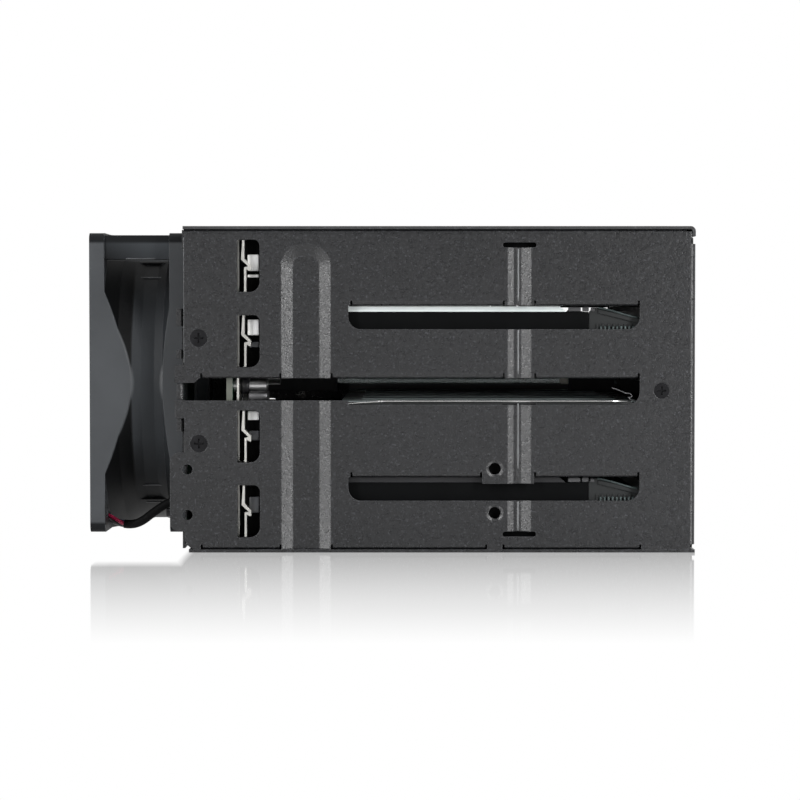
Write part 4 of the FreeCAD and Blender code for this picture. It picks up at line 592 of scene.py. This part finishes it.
def fan_masks(tree):
    """Five masks from a point's place: barrel, its grey middle, upper post, lower post, flange ends."""
    along, across, height = tree.axes(tree.place)
    rise = tree.maths("ABSOLUTE", tree.maths("SUBTRACT", height, FAN_AXIS))
    reach = tree.maths("MAXIMUM", tree.maths("ABSOLUTE", across), rise)
    between = tree.maths("MULTIPLY", tree.above(along, *BEHIND_REAR_FLANGE),
                         tree.below(along, *BEFORE_FRONT_FLANGE))
    barrel = tree.maths("MULTIPLY", tree.below(reach, *BARREL_REACH),
                        tree.below(height, *UPPER_POST_FOOT), between)
    middle = tree.maths("MULTIPLY", tree.above(along, *CONE_START), tree.below(rise, *CONE_MIDDLE))
    upper_post = tree.maths("MULTIPLY", between, tree.above(height, *UPPER_POST_FOOT))
    lower_post = tree.maths("MULTIPLY", between, tree.below(height, *LOWER_POST_TOP))
    return barrel, middle, upper_post, lower_post, tree.above(rise, *FLANGE_ENDS)


print("fan axis at height", FAN_AXIS)

# %% Plastic of the fan frame
POST_ALONG = (REAR_EDGE_X - 33 * MM, REAR_EDGE_X - 8 * MM)
POST_HEIGHT = (116.5 * MM, 124.5 * MM)


def fan_plastic(name, colour, gloss):
    """The flanges' grey, with each mask's painted shade or light laid over it in turn, and edges lighter
    as rubbing and painted highlight.
    """
    tree = Tree(name)
    barrel, middle, upper_post, lower_post, ends = fan_masks(tree)
    along, _, height = tree.axes(tree.place)
    cloud = tree.noise(38, 4.0, 0.55)
    shade = shaded(tree, cloud, colour, 0.86, 1.16)
    # Painted shade: the barrel near black, and a lighter grey where its cone catches light.
    black = tree.mix(middle, times(colour, 0.06), times(colour, 0.72))
    slope = tree.maths("ADD", tree.span(along, 0.0, 0.6, *POST_ALONG),
                       tree.span(height, 0.0, 0.4, *POST_HEIGHT))
    # Painted light on the upper posts: darker to the rear and low, lighter forwards and up.
    lit = tree.mix(slope, times(colour, 0.12), times(colour, 1.5))
    # The lower post is painted near black as shade.
    posts = tree.mix(lower_post, tree.mix(upper_post, shade, lit), times(colour, 0.05))
    # The ends of the flanges are painted darker as shade.
    outside = tree.mix(ends, posts, times(colour, 0.22))
    # Edges lighter: partly rubbing, partly a painted highlight.
    rubbed_and_highlit = tree.mix(wear_and_edge_highlight(tree, 0.4 * MM), tree.mix(barrel, outside, black), times(colour, 2.4))
    dull = tree.maths("MAXIMUM", barrel, ends, upper_post, lower_post)
    normal = tree.bump(tree.noise(2400, 2.0, 0.6), 0.06 * MM, 0.5, tree.soft_edges(0.5 * MM))
    tree.set(Base_Color=rubbed_and_highlit, Normal=normal, Roughness=tree.span(cloud, gloss, gloss + 0.1),
             Specular_IOR_Level=tree.span(dull, 0.45, 0.10, 0.0, 1.0))
    return tree.material


fan_finish = fan_plastic("fan_frame_plastic", (0.034, 0.0372, 0.041), 0.42)
print("made", fan_finish.name)

# %% [markdown]
# ### Metals
# Zinc plate has a slightly cloudy, faintly yellow gloss with rolling marks along the strip. Screws are
# blackened steel, whose oil film makes soft patches. Cans and pins are plain bright metal with fine
# turning marks, and small springs have a dull skin of oxide. Metal takes its colour from its
# reflections, so roughness does most of the work here.


# %% Metals
def metal(name, colour, gloss, marks, stretch, spread=0.12):
    """Fine marks drawn out along one axis, under soft clouds of a darker and rougher metal."""
    tree = Tree(name)
    lines = tree.noise(marks, 3.0, 0.6, stretch)
    cloud = tree.noise(90, 4.0, 0.6)
    normal = tree.bump(lines, 0.02 * MM, 0.5, tree.soft_edges(0.2 * MM))
    tree.set(Base_Color=shaded(tree, cloud, colour, 0.82, 1.0), Metallic=1.0, Normal=normal,
             Roughness=tree.span(cloud, gloss, gloss + spread))
    return tree.material


EVEN = (1.0, 1.0, 1.0)
ALONG_X = (0.1, 1.0, 1.0)
ALONG_Z = (1.0, 1.0, 0.1)
zinc_finish = metal("zinc_plate", (0.78, 0.77, 0.73), 0.24, 900, (1.0, 1.0, 0.06))
screw_finish = metal("blackened_steel", (0.030, 0.030, 0.032), 0.20, 1500, EVEN, 0.25)
can_finish = metal("drawn_aluminium", (0.70, 0.70, 0.70), 0.28, 1800, ALONG_X)
pin_finish = metal("polished_steel", (0.72, 0.72, 0.71), 0.14, 1500, ALONG_Z)
dull_finish = metal("dull_spring_steel", (0.155, 0.155, 0.16), 0.42, 1100, EVEN, 0.25)
print("made five metals")

# %% [markdown]
# ### The circuit board
# Solder mask is a green lacquer over copper. Where copper runs beneath, the green is lighter. A brick
# pattern stretched along the board gives runs of parallel tracks, a second at right angles gives the
# other layer, and a noise decides which areas carry them. The lacquer itself is a clear coat. The sawn
# rim shows the bare, greyish board.

# %% Board finish
TRACK_GAP = 0.32 * MM
TRACK_LAYERS = ((0.0, 1.6 * MM), (math.pi / 2, 2.4 * MM))  # turn and pitch
TRACK_RUN = 21 * MM
BOARD_RIM = (68.35 * MM, 68.55 * MM)
MASK_DARK, MASK_LIGHT, BARE_BOARD = (0.016, 0.085, 0.045), (0.035, 0.17, 0.09), (0.10, 0.108, 0.088)


def track_layer(tree, turn, pitch):
    """1 in the gaps of a brick pattern with the given pitch between rows, else 0."""
    mapping = tree.add("ShaderNodeMapping")
    mapping.inputs["Rotation"].default_value = (0.0, math.pi / 2, turn)
    tree.link(tree.place, mapping.inputs["Vector"])
    brick = tree.add("ShaderNodeTexBrick")
    for socket, number in (("Scale", 1.0), ("Mortar Size", TRACK_GAP), ("Mortar Smooth", 0.2),
                           ("Brick Width", TRACK_RUN + pitch), ("Row Height", pitch)):
        brick.inputs[socket].default_value = number
    tree.link(mapping.outputs["Vector"], brick.inputs["Vector"])
    return brick.outputs["Fac"]


def board_lacquer(name):
    """Green, lighter over the tracks of one layer or the other, and bare at the rim."""
    tree = Tree(name)
    pick = tree.add("ShaderNodeMix", data_type="FLOAT")
    tree.link(tree.above(tree.noise(60, 1.0), 0.48, 0.52), pick.inputs["Factor"])
    floats = [s for s in pick.inputs if s.type == "VALUE" and s.name in ("A", "B")]
    for socket, (turn, pitch) in zip(floats, TRACK_LAYERS):
        tree.link(track_layer(tree, turn, pitch), socket)
    tracks = pick.outputs["Result"]
    across = tree.axes(tree.place)[1]
    rim = tree.above(tree.maths("ABSOLUTE", across), *BOARD_RIM)
    green = tree.mix(rim, tree.mix(tracks, MASK_DARK, MASK_LIGHT), BARE_BOARD)
    normal = tree.bump(tracks, 0.03 * MM, 0.6, tree.soft_edges(0.2 * MM))
    tree.set(Base_Color=green, Normal=normal, Coat_Weight=0.6, Coat_Roughness=0.12,
             Roughness=tree.span(tree.noise(45, 3.0), 0.3, 0.45))
    return tree.material


board_finish = board_lacquer("green_solder_mask")
print("made", board_finish.name)

# %% [markdown]
# ### Clear acrylic and wire sleeves
# Light guides are clear acrylic with a cool tint and a few flow lines, so they transmit. The strips on
# the trays are the same acrylic frosted white, which passes little light. Wire insulation is soft vinyl:
# a saturated colour, a waxy gloss and fine scuffs along its length.

# %% Acrylic and vinyl
ACRYLIC_IOR = 1.49


def acrylic(name, clearness):
    """Transmission by the clearness, with flow lines along X in the tint, the gloss and the normal."""
    tree = Tree(name)
    flow = tree.noise(160, 3.0, 0.5, (0.08, 1.0, 1.0))
    tint = tree.mix(tree.above(flow, 0.3, 0.7), (0.95, 1.0, 0.995), (0.89, 0.97, 0.965))
    tree.set(Base_Color=tint, Transmission_Weight=clearness, IOR=ACRYLIC_IOR,
             Roughness=tree.span(flow, 0.05, 0.16), Normal=tree.bump(flow, 0.02 * MM, 0.3))
    return tree.material


def vinyl(name, colour, gloss=0.3, shine=0.5):
    """Soft clouds of a darker shade, and fine scuffs in the gloss and the normal."""
    tree = Tree(name)
    scuff = tree.noise(900, 4.0, 0.6)
    shade = shaded(tree, tree.noise(120, 2.0), colour, 0.8, 1.0)
    tree.set(Base_Color=shade, Roughness=tree.span(scuff, gloss, gloss + 0.16),
             Specular_IOR_Level=shine, Normal=tree.bump(scuff, 0.03 * MM, 0.4))
    return tree.material


guide_finish = acrylic("clear_acrylic", 0.9)
strip_finish = acrylic("frosted_acrylic", 0.15)
red_vinyl = vinyl("red_wire_sleeve", (0.34, 0.012, 0.06))
black_vinyl = vinyl("black_wire_sleeve", (0.016, 0.016, 0.017))
blue_vinyl = vinyl("blue_wire_sleeve", (0.016, 0.022, 0.075))
shrink_finish = vinyl("black_shrink_tube", (0.003, 0.003, 0.0033), 0.58, 0.1)
print("made acrylic and vinyl finishes")

# %% [markdown]
# ## Dressing the frame's own pieces
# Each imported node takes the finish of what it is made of. A table from the start of a node's name to a
# finish keeps this in one place, and the numbered trays share one row each.

# %% Assign finishes
FINISHES = {
    "side_plate": plate_finish, "top_cover": cover_finish, "bottom_plate": plate_finish,
    "fan_panel": plate_finish, "centre_deck": deck_finish, "centre_bar": bezel_finish,
    "light_guides": guide_finish, "light_pipes": guide_finish, "guide_holders": socket_finish,
    "side_screws": screw_finish, "cover_screws": screw_finish, "bottom_screws": screw_finish,
    "fan_screws": screw_finish, "fan_frame": fan_finish, "fan_rotor": rotor_finish,
    "fan_lead": black_vinyl, "fan_plug": nylon_finish, "fan_header": nylon_finish,
    "backplane_board": board_finish, "backplane_bracket": zinc_finish,
    "board_standoffs": zinc_finish, "capacitors": can_finish, "data_ports": socket_finish,
    "power_inlets": nylon_finish, "drive_socket": socket_finish, "tray_frame": tray_finish,
    "tray_bezel": bezel_finish, "tray_lever": lever_finish, "lever_pin": pin_finish,
    "release_button": button_finish,
}
for name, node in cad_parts.items():
    key = next(k for k in sorted(FINISHES, key=len, reverse=True) if name.startswith(k))
    node.data.materials.clear()
    node.data.materials.append(FINISHES[key])
print("dressed", len(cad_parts), "nodes")

# %% [markdown]
# ## The fan's wires
# The fan's lead leaves the barrel near the lower corner, dips under the mouth and runs forward through
# the front flange to its plug. Really it is three thin wires, gathered by a short shrink tube. The
# route is a smooth spline through given points, and each wire is a helix round it: the spline's
# point plus a small radius turned by an angle that grows with the distance travelled.

# %% Lead route
LEAD_ROUTE = [
    (-37.5, -45.0, 13.3),
    (-32.0, -46.5, 11.2),
    (-26.5, -47.5, 8.8),
    (-20.5, -47.5, 9.4),
    (-14.5, -46.8, 14.2),
    (-8.0, -46.2, 18.4),
    (-1.0, -46.0, 19.3),
    (5.0, -46.0, 19.3),
]


def smooth_route(points):
    """Points along a NURBS spline of order 3 that starts and ends at the given points' ends."""
    curve = bpy.data.curves.new("route", "CURVE")
    curve.dimensions = "3D"
    curve.resolution_u = 12
    spline = curve.splines.new("NURBS")
    spline.points.add(len(points) - 1)
    for point, (u, y, z) in zip(spline.points, points):
        point.co = (at(u), y * MM, z * MM, 1.0)
    spline.order_u = 3
    spline.use_endpoint_u = True
    holder = bpy.data.objects.new("route", curve)
    mesh = bpy.data.meshes.new_from_object(holder)
    path = np.zeros(len(mesh.vertices) * 3)
    mesh.vertices.foreach_get("co", path)
    bpy.data.objects.remove(holder)
    bpy.data.meshes.remove(mesh)
    return path.reshape(-1, 3)


lead_path = smooth_route(LEAD_ROUTE)
print("lead path has", len(lead_path), "points")

# %% Wires and shrink tube
WIRE_RADIUS = 0.72 * MM
WIRE_ORBIT = 0.86 * MM
TWIST_LENGTH = 32 * MM
FIRST_ANGLE = 0.8
SHRINK_RADIUS = 1.75 * MM
SHRINK_ENDS = (-27, -7)


def helix_round(path, start_angle):
    """Path plus the orbit radius along its two normals, turned once in each twist length."""
    step = np.linalg.norm(np.diff(path, axis=0), axis=1)
    travelled = np.concatenate([[0.0], np.cumsum(step)])
    angle = start_angle + travelled / TWIST_LENGTH * 2 * np.pi
    tangent, first, second = path_frames(path)
    return path + WIRE_ORBIT * (np.cos(angle)[:, None] * first + np.sin(angle)[:, None] * second)


sleeves = {"red": red_vinyl, "black": black_vinyl, "blue": blue_vinyl}
for index, (colour_name, sleeve) in enumerate(sleeves.items()):
    strand = helix_round(lead_path, index * 2 * np.pi / 3 + FIRST_ANGLE)
    make_piece("fan_wire_" + colour_name, tube(strand, WIRE_RADIUS, sides=14), "cage",
                            sleeve)
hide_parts("fan_lead")
in_shrink = (lead_path[:, 0] > at(SHRINK_ENDS[0])) & (lead_path[:, 0] < at(SHRINK_ENDS[1]))
make_piece("fan_shrink_tube", tube(lead_path[in_shrink], SHRINK_RADIUS, sides=20), "cage",
           shrink_finish)

# %% [markdown]
# ## Behind the windows
# Each hook of the bracket stands in a window. Behind the hook a black pad closes the gap: a dark sheet
# that stands in for the shade there. Nylon blocks on the pad hold the harness. The blocks are short
# rounded boxes at their own heights, and the lower ones are painted grey as shade. The far side has the
# same windows, so every pad and block is made twice, the second time mirrored.

# %% Shade pads and blocks
WINDOWS = [(6.2, 26.5), (35.8, 56.1), (73.5, 93.8), (103.2, 123.5)]
WHITE_HEIGHTS = [(111.4, 117.9), (108.8, 110.0), (86.0, 92.2), (52.3, 55.8)]
# Heights of the blocks painted grey as shade.
SHADED_HEIGHTS = [(81.2, 83.3), (44.2, 48.0), (15.4, 21.8)]


def on_both_sides(heights, u0, u1, inner, outer, radius):
    """A rounded block at each height, between the inner and outer distance from the middle plane."""
    return joined([block_at(u0, u1, y0, y1, z0, z1, radius)
                   for z0, z1 in heights for y0, y1 in ((-outer, -inner), (inner, outer))])


# Black pads: dark sheets that stand in for the shade in the windows.
shade_pads = on_both_sides(WINDOWS, u0=21.5, u1=31.9, inner=66.42, outer=67.2, radius=0.25)
white_blocks = on_both_sides(WHITE_HEIGHTS, u0=24.9, u1=29.4, inner=67.22, outer=69.0, radius=0.35)
shaded_blocks = on_both_sides(SHADED_HEIGHTS, u0=25.4, u1=29.4, inner=67.22, outer=68.6, radius=0.35)
make_piece("window_shade_pads", shade_pads, "cage", shade_pad_finish)
make_piece("nylon_blocks", white_blocks, "cage", white_finish)
make_piece("shaded_blocks", shaded_blocks, "cage", button_finish)

# %% [markdown]
# ## Small parts of the air channel
# The big cans stand in black rubber feet, with a row of smaller cans below. Both are turned pieces: a
# profile with a small round at its rim, spun about the way they point.

# %% Can feet and small cans
BIG_CANS = [(-60.0, 65.9), (-50.5, 65.9), (50.5, 65.9)]
FOOT_PROFILE = [(0, 0), (0, 3.3), (3.2, 3.3), (3.7, 2.85), (3.7, 0)]
feet = [turned_at(FOOT_PROFILE, 21.5, y, z, sides=28) for y, z in BIG_CANS]
make_piece("can_feet", joined(feet), "cage", socket_finish)

SMALL_CANS, SMALL_CAN_HEIGHT = (-63.0, -58.0, -53.0), 61.6
CAN_PROFILE = [(0, 0), (0, 1.9), (0.4, 2.1), (7.2, 2.1), (7.6, 1.8), (7.6, 0)]
small = [turned_at(CAN_PROFILE, 25.0, y, SMALL_CAN_HEIGHT, sides=24) for y in SMALL_CANS]
make_piece("small_cans", joined(small), "cage", dull_finish)

# %% [markdown]
# A thin bright steel strip along the deck's bend stands in for the highlight on that bend: its path drops
# at the rear, where the bend starts. A bent spring wire earths the deck. A curve through a few points
# gives each its path, and a thin tube its body.

# %% Highlight strip and spring
DECK_EDGE = [(62.6, 58.95), (66.0, 59.0), (71.0, 59.35), (78.0, 59.8), (86.0, 59.9), (176.5, 59.9)]
SPRING_BENDS = [(169.2, 65.2), (171.8, 64.3), (174.6, 63.1), (176.3, 62.9), (177.2, 61.9),
                (176.2, 61.2), (175.6, 61.6), (176.4, 60.7), (177.8, 60.0)]
DECK_EDGE_Y, DECK_EDGE_RADIUS = -71.95, 0.32 * MM
SPRING_Y, SPRING_RADIUS = -70.6, 0.19 * MM
# A bright tube that stands in for the highlight on the deck's bend.
bend_highlight = tube(curve_at(DECK_EDGE_Y, DECK_EDGE, count=10), DECK_EDGE_RADIUS, sides=10)
make_piece("deck_bend_highlight", bend_highlight, "cage", pin_finish)
spring = tube(curve_at(SPRING_Y, SPRING_BENDS, count=8), SPRING_RADIUS, sides=10)
make_piece("earth_spring", spring, "cage", dull_finish)

# %% [markdown]
# Small blocks finish the openings. A pale facet ends each light guide, a blank closes the rear end of
# the far middle slot, and a folded corner fills each side of the cover's front lip.

# %% Facets, blank and corners
GUIDE_MIDDLES, GUIDE_HALF = (62.0, 66.2), 1.7
LIP_SIDES, SHEET_HALF = (-72.6, 72.6), 0.35
facets = [block_at(157.6, 161.4, y - GUIDE_HALF, y + GUIDE_HALF, 63.1, 66.1, radius=0.5)
          for y in GUIDE_MIDDLES]
make_piece("guide_facets", joined(facets), "cage", nylon_finish)
blank = block_at(57.5, 66.5, 69.6, 71.9, 60.2, 70.6, radius=0.3)
make_piece("slot_blank", blank, "cage", socket_finish)
corners = [block_at(198.3, 200.6, y - SHEET_HALF, y + SHEET_HALF, 123.7, 126.9, radius=0.2)
           for y in LIP_SIDES]
make_piece("cover_corners", joined(corners), "cage", plate_finish)

# %% [markdown]
# Two bright lines are painted highlights: one on the crease along the narrow pressed rib, which the
# slots cut into four lengths, and one on the rear edge of the near plate above its slot. Each is a thin
# upright rod of light grey plastic sunk into the sheet, so that only a sliver of it shows.

# %% Painted highlights on the crease and rear edge
CREASE_LENGTHS = [(8.6, 20.2), (33.2, 59.0), (70.6, 88.0), (99.4, 120.2)]
# Thin light grey rods that stand in for highlights.
crease_highlights = [upright_rod(132.0, -71.75, z0, z1, count=12, radius=0.3) for z0, z1 in CREASE_LENGTHS]
make_piece("rib_crease_highlight", joined(crease_highlights), "cage", highlight_finish)
edge = upright_rod(0.05, -72.78, 75.2, 124.6, count=40, radius=0.2)
make_piece("rear_edge_highlight", edge, "cage", highlight_finish)

# %% [markdown]
# ## Tray details
# A slide strip runs on top of each tray's near wall and ends in a slant where the arm begins: frosted
# acrylic on three trays, and black on the lowest. The arm's spring clips are small dull grey blocks, a
# lighter rod along its sloping edge stands in for a highlight, and thin rounded ribs make the grip. Each
# shape is worked out for a tray's floor, so one loop serves all four trays.

# %% Slide strip
STRIP_ENDS, STRIP_DEPTH, STRIP_SLANT = (40.0, 151.2), (-68.75, -67.7), 2.6
STRIP_LOW, STRIP_HIGH = 25.02, 27.1


def slide_strip(floor):
    """A long bar of eight corners whose front end leans: its top edge is shorter by the slant."""
    u0, u1 = STRIP_ENDS
    z0, z1 = floor + STRIP_LOW, floor + STRIP_HIGH
    outline = [(u0, z1), (u1 - STRIP_SLANT, z1), (u1, z0), (u0, z0)]
    points = [(at(u), y * MM, z * MM) for y in STRIP_DEPTH for u, z in outline]
    quads = [(0, 1, 2, 3), (7, 6, 5, 4), (0, 4, 5, 1), (1, 5, 6, 2), (2, 6, 7, 3), (3, 7, 4, 0)]
    return np.array(points), np.array(quads)


print("slide strip", round(STRIP_ENDS[1] - STRIP_ENDS[0], 1), "mm long")

# %% Clips and ribs
CLIPS = [(152.0, 5.0, 26.9), (157.6, 2.6, 27.0), (160.9, 1.6, 26.6)]  # start, length, top
CLIP_DEPTH, CLIP_LOW = (-68.7, -67.4), 25.1
RIDGE = [(163.8, 26.6), (166.0, 26.2), (171.0, 24.9), (176.0, 23.4), (179.6, 22.6)]
RIB_STARTS = np.arange(165.0, 180.0, 1.6)
RIB_LOW, RIB_HIGH, ARM_FACE = 2.5, 19.3, -69.0


def arm_clips(floor):
    """Three small blocks in a row, each with its own length and height."""
    return joined([block_at(u, u + length, *CLIP_DEPTH, floor + CLIP_LOW, floor + top, radius=0.4)
                   for u, length, top in CLIPS])


def arm_ribs(floor):
    """A lighter ridge along the arm's slope that stands in for a highlight, and a row of upright ribs
    below it.
    """
    # The ridge is a lighter rod that stands in for the highlight on the arm's sloping edge.
    slope = curve_at(ARM_FACE, [(u, floor + z) for u, z in RIDGE], count=5)
    ribs = [upright_rod(u, ARM_FACE, floor + RIB_LOW, floor + RIB_HIGH, count=13, radius=0.42)
            for u in RIB_STARTS]
    return joined([tube(slope, 0.38 * MM, sides=8)] + ribs)


print("ribs on each arm:", len(RIB_STARTS))

# %% Dress the trays
TRAY_FLOORS = (2.5, 31.15, 70.3, 98.95)
for number, floor in enumerate(TRAY_FLOORS, 1):
    slot, finish = ("black_plastic", socket_finish) if number == 1 else ("clear_acrylic", strip_finish)
    tray = "tray_%d" % number
    make_piece("slide_strip_%d" % number, slide_strip(floor), tray, finish, smooth=False)
    make_piece("arm_clips_%d" % number, arm_clips(floor), tray, clip_finish)
    make_piece("arm_ribs_%d" % number, arm_ribs(floor), tray, grip_finish)

# %% [markdown]
# ## Mould lines and painted highlights of the fan
# Where the two halves of the fan's mould meet, a thin line crosses the barrel above and below, and the
# posts' edges carry painted highlights. Each is a thin rounded bar along X, a little lighter than the
# frame. One lower post is left out of the frame to let the lead through, so the line there lies on the
# barrel.

# %% Fan lines
MIRRORED_LINES = [(59.05, 116.5, -24.5, -12.5), (40.9, 109.2, -22.0, -9.4), (41.0, 24.6, -21.0, -8.8)]
LOWEST_LINES = {-1: (30.9, 16.85, -21.0, -8.4), 1: (59.05, 17.2, -28.0, -8.4)}
LINE_HALF = 0.3
# Mould seams on the barrel, and painted highlights on the posts' edges.
lines = [block_at(u0, u1, side * y - LINE_HALF, side * y + LINE_HALF, z - LINE_HALF, z + LINE_HALF, 0.28)
         for side, lowest in LOWEST_LINES.items() for y, z, u0, u1 in MIRRORED_LINES + [lowest]]
make_piece("fan_seams_and_highlights", joined(lines), "cage", seam_highlight_finish)

# %% [markdown]
# ## Floor and light
# The floor is a white glossy sheet lit from below, so it throws a mirror image and takes no shadow. To
# the camera it glows white, and to the object it is a soft fill light. The gloss fades with distance
# from the object, as it does on a sheet of acrylic under a soft box. Under the fan's near half the
# sheet is left matt, which keeps the fan's dark underside out of the mirror image.

# %% Floor finish
FLOOR_FILL, FLOOR_ROUGHNESS = 0.4, 0.06
GLOSS_SHARE, GLOSS_REACH = 0.60, 262 * MM
MATT_FRONT = (REAR_EDGE_X, REAR_EDGE_X + 4 * MM)
MATT_REAR = (cad_low.x - 2 * MM, cad_low.x - 50 * MM)
MATT_NEAR, MATT_FAR = (-106 * MM, -128 * MM), (10 * MM, 60 * MM)


def white(wiring, kind):
    """A node of the given kind whose colour is white."""
    node = wiring.add(kind)
    wiring.feed(node.inputs["Color"], (1.0, 1.0, 1.0))
    return node


def floor_material():
    """Glow and gloss mixed by a share that falls off round the object's box and in the matt part."""
    material = bpy.data.materials.new("pale_floor")
    material.use_nodes = True
    wiring = Wiring(material.node_tree)
    diffuse_ray = wiring.add("ShaderNodeLightPath").outputs["Is Diffuse Ray"]
    glow = white(wiring, "ShaderNodeEmission")
    wiring.link(wiring.span(diffuse_ray, 1.0, FLOOR_FILL, 0.0, 1.0), glow.inputs["Strength"])
    gloss = white(wiring, "ShaderNodeBsdfGlossy")
    gloss.inputs["Roughness"].default_value = FLOOR_ROUGHNESS
    x, y, _ = wiring.axes(wiring.add("ShaderNodeTexCoord").outputs["Object"])
    beyond = wiring.maths("MAXIMUM",
                          wiring.maths("SUBTRACT", wiring.maths("ABSOLUTE", x), -cad_low.x),
                          wiring.maths("SUBTRACT", wiring.maths("ABSOLUTE", y), -cad_low.y))
    fade = wiring.span(beyond, 0.0, GLOSS_SHARE, GLOSS_REACH, 0.0)
    outside = wiring.maths("MAXIMUM", wiring.above(x, *MATT_FRONT), wiring.above(x, *MATT_REAR),
                           wiring.above(y, *MATT_NEAR), wiring.above(y, *MATT_FAR))
    blend = wiring.add("ShaderNodeMixShader")
    wiring.link(wiring.maths("MULTIPLY", fade, outside), blend.inputs["Fac"])
    wiring.link(glow.outputs[0], blend.inputs[1])
    wiring.link(gloss.outputs[0], blend.inputs[2])
    output = wiring.add("ShaderNodeOutputMaterial")
    wiring.link(blend.outputs[0], output.inputs["Surface"])
    return material


print("the floor's gloss reaches", GLOSS_REACH)


# %% Floor
def make_sheet(name, corners, material):
    """One quad through four corners, with a material."""
    mesh = bpy.data.meshes.new(name)
    mesh.from_pydata(corners, [], [(0, 1, 2, 3)])
    mesh.materials.append(material)
    sheet = bpy.data.objects.new(name, mesh)
    bpy.context.scene.collection.objects.link(sheet)
    return sheet


HALF = 6.0
floor = make_sheet("floor", [(-HALF, -HALF, 0), (HALF, -HALF, 0), (HALF, HALF, 0), (-HALF, HALF, 0)],
                   floor_material())
print("floor", floor.dimensions[:])

# %% [markdown]
# The backdrop is a white wall behind the object. It looks white to the camera, in gloss and through
# acrylic, but lights the object only a little. The world round it is an even grey room that looks white
# to the camera too, so that views past the wall's edge stay pale.

# %% Glow of the room
WALL_FILL, ROOM_FILL, SEEN = 0.4, 0.22, 1.0


def plain_glow(wiring, kind, fill, *others):
    """Emission or background: full white for camera rays and the other named kinds, else the fill."""
    rays = wiring.add("ShaderNodeLightPath")
    seen = wiring.maths("MAXIMUM", rays.outputs["Is Camera Ray"], *(rays.outputs[n] for n in others))
    glow = white(wiring, kind)
    wiring.link(wiring.span(seen, fill, SEEN, 0.0, 1.0), glow.inputs["Strength"])
    return glow.outputs[0]


def backdrop_material():
    """White to the camera, to gloss and to what passes light, and a weak lamp to the rest."""
    material = bpy.data.materials.new("backdrop")
    material.use_nodes = True
    wiring = Wiring(material.node_tree)
    output = wiring.add("ShaderNodeOutputMaterial")
    glow = plain_glow(wiring, "ShaderNodeEmission", WALL_FILL, "Is Glossy Ray", "Is Transmission Ray")
    wiring.link(glow, output.inputs["Surface"])
    return material


def make_world():
    """An even grey room, a little lighter than the object."""
    world = bpy.data.worlds.new("room")
    bpy.context.scene.world = world
    world.use_nodes = True
    wiring = Wiring(world.node_tree)
    output = wiring.add("ShaderNodeOutputWorld")
    glow = plain_glow(wiring, "ShaderNodeBackground", ROOM_FILL, "Is Transmission Ray")
    wiring.link(glow, output.inputs["Surface"])


print("fill of the wall", WALL_FILL, "and of the room", ROOM_FILL)

# %% Backdrop and world
WALL_Y, WALL_HALF, WALL_LOW, WALL_HIGH = 2.6, 7.0, -0.5, 5.5
wall = make_sheet("backdrop", [(-WALL_HALF, WALL_Y, WALL_LOW), (WALL_HALF, WALL_Y, WALL_LOW),
                               (WALL_HALF, WALL_Y, WALL_HIGH), (-WALL_HALF, WALL_Y, WALL_HIGH)],
                  backdrop_material())
make_world()
print("backdrop", wall.dimensions[:], "world", bpy.context.scene.world.name)

# %% [markdown]
# Two tall soft boxes stand left and right of the camera, so that surfaces turned a little sideways catch
# them and flat ones don't. A wide, weak one above lights the cover and the tops of the trays.

# %% Lamps
AIM = (0.0, -0.07, 0.07)
LAMPS = {  # place, width, height, radiance
    "left_box": ((-0.98, -1.10, 0.55), 0.26, 1.3, 15.5),
    "right_box": ((0.72, -0.86, 0.45), 0.22, 1.1, 17.0),
    "top_box": ((0.0, -0.1, 1.5), 1.6, 1.2, 1.6),
}


def soft_box(name, place, width, height, radiance):
    """A rectangular lamp turned to face the aim. Its power is radiance times pi times its area."""
    data = bpy.data.lights.new(name, "AREA")
    data.shape = "RECTANGLE"
    data.size = width
    data.size_y = height
    data.energy = radiance * math.pi * width * height
    lamp = bpy.data.objects.new(name, data)
    lamp.location = place
    direction = Vector(AIM) - Vector(place)
    lamp.rotation_euler = direction.to_track_quat("-Z", "Y").to_euler()
    bpy.context.scene.collection.objects.link(lamp)


for name, settings in LAMPS.items():
    soft_box(name, *settings)
bpy.context.scene.view_settings.view_transform = "Standard"
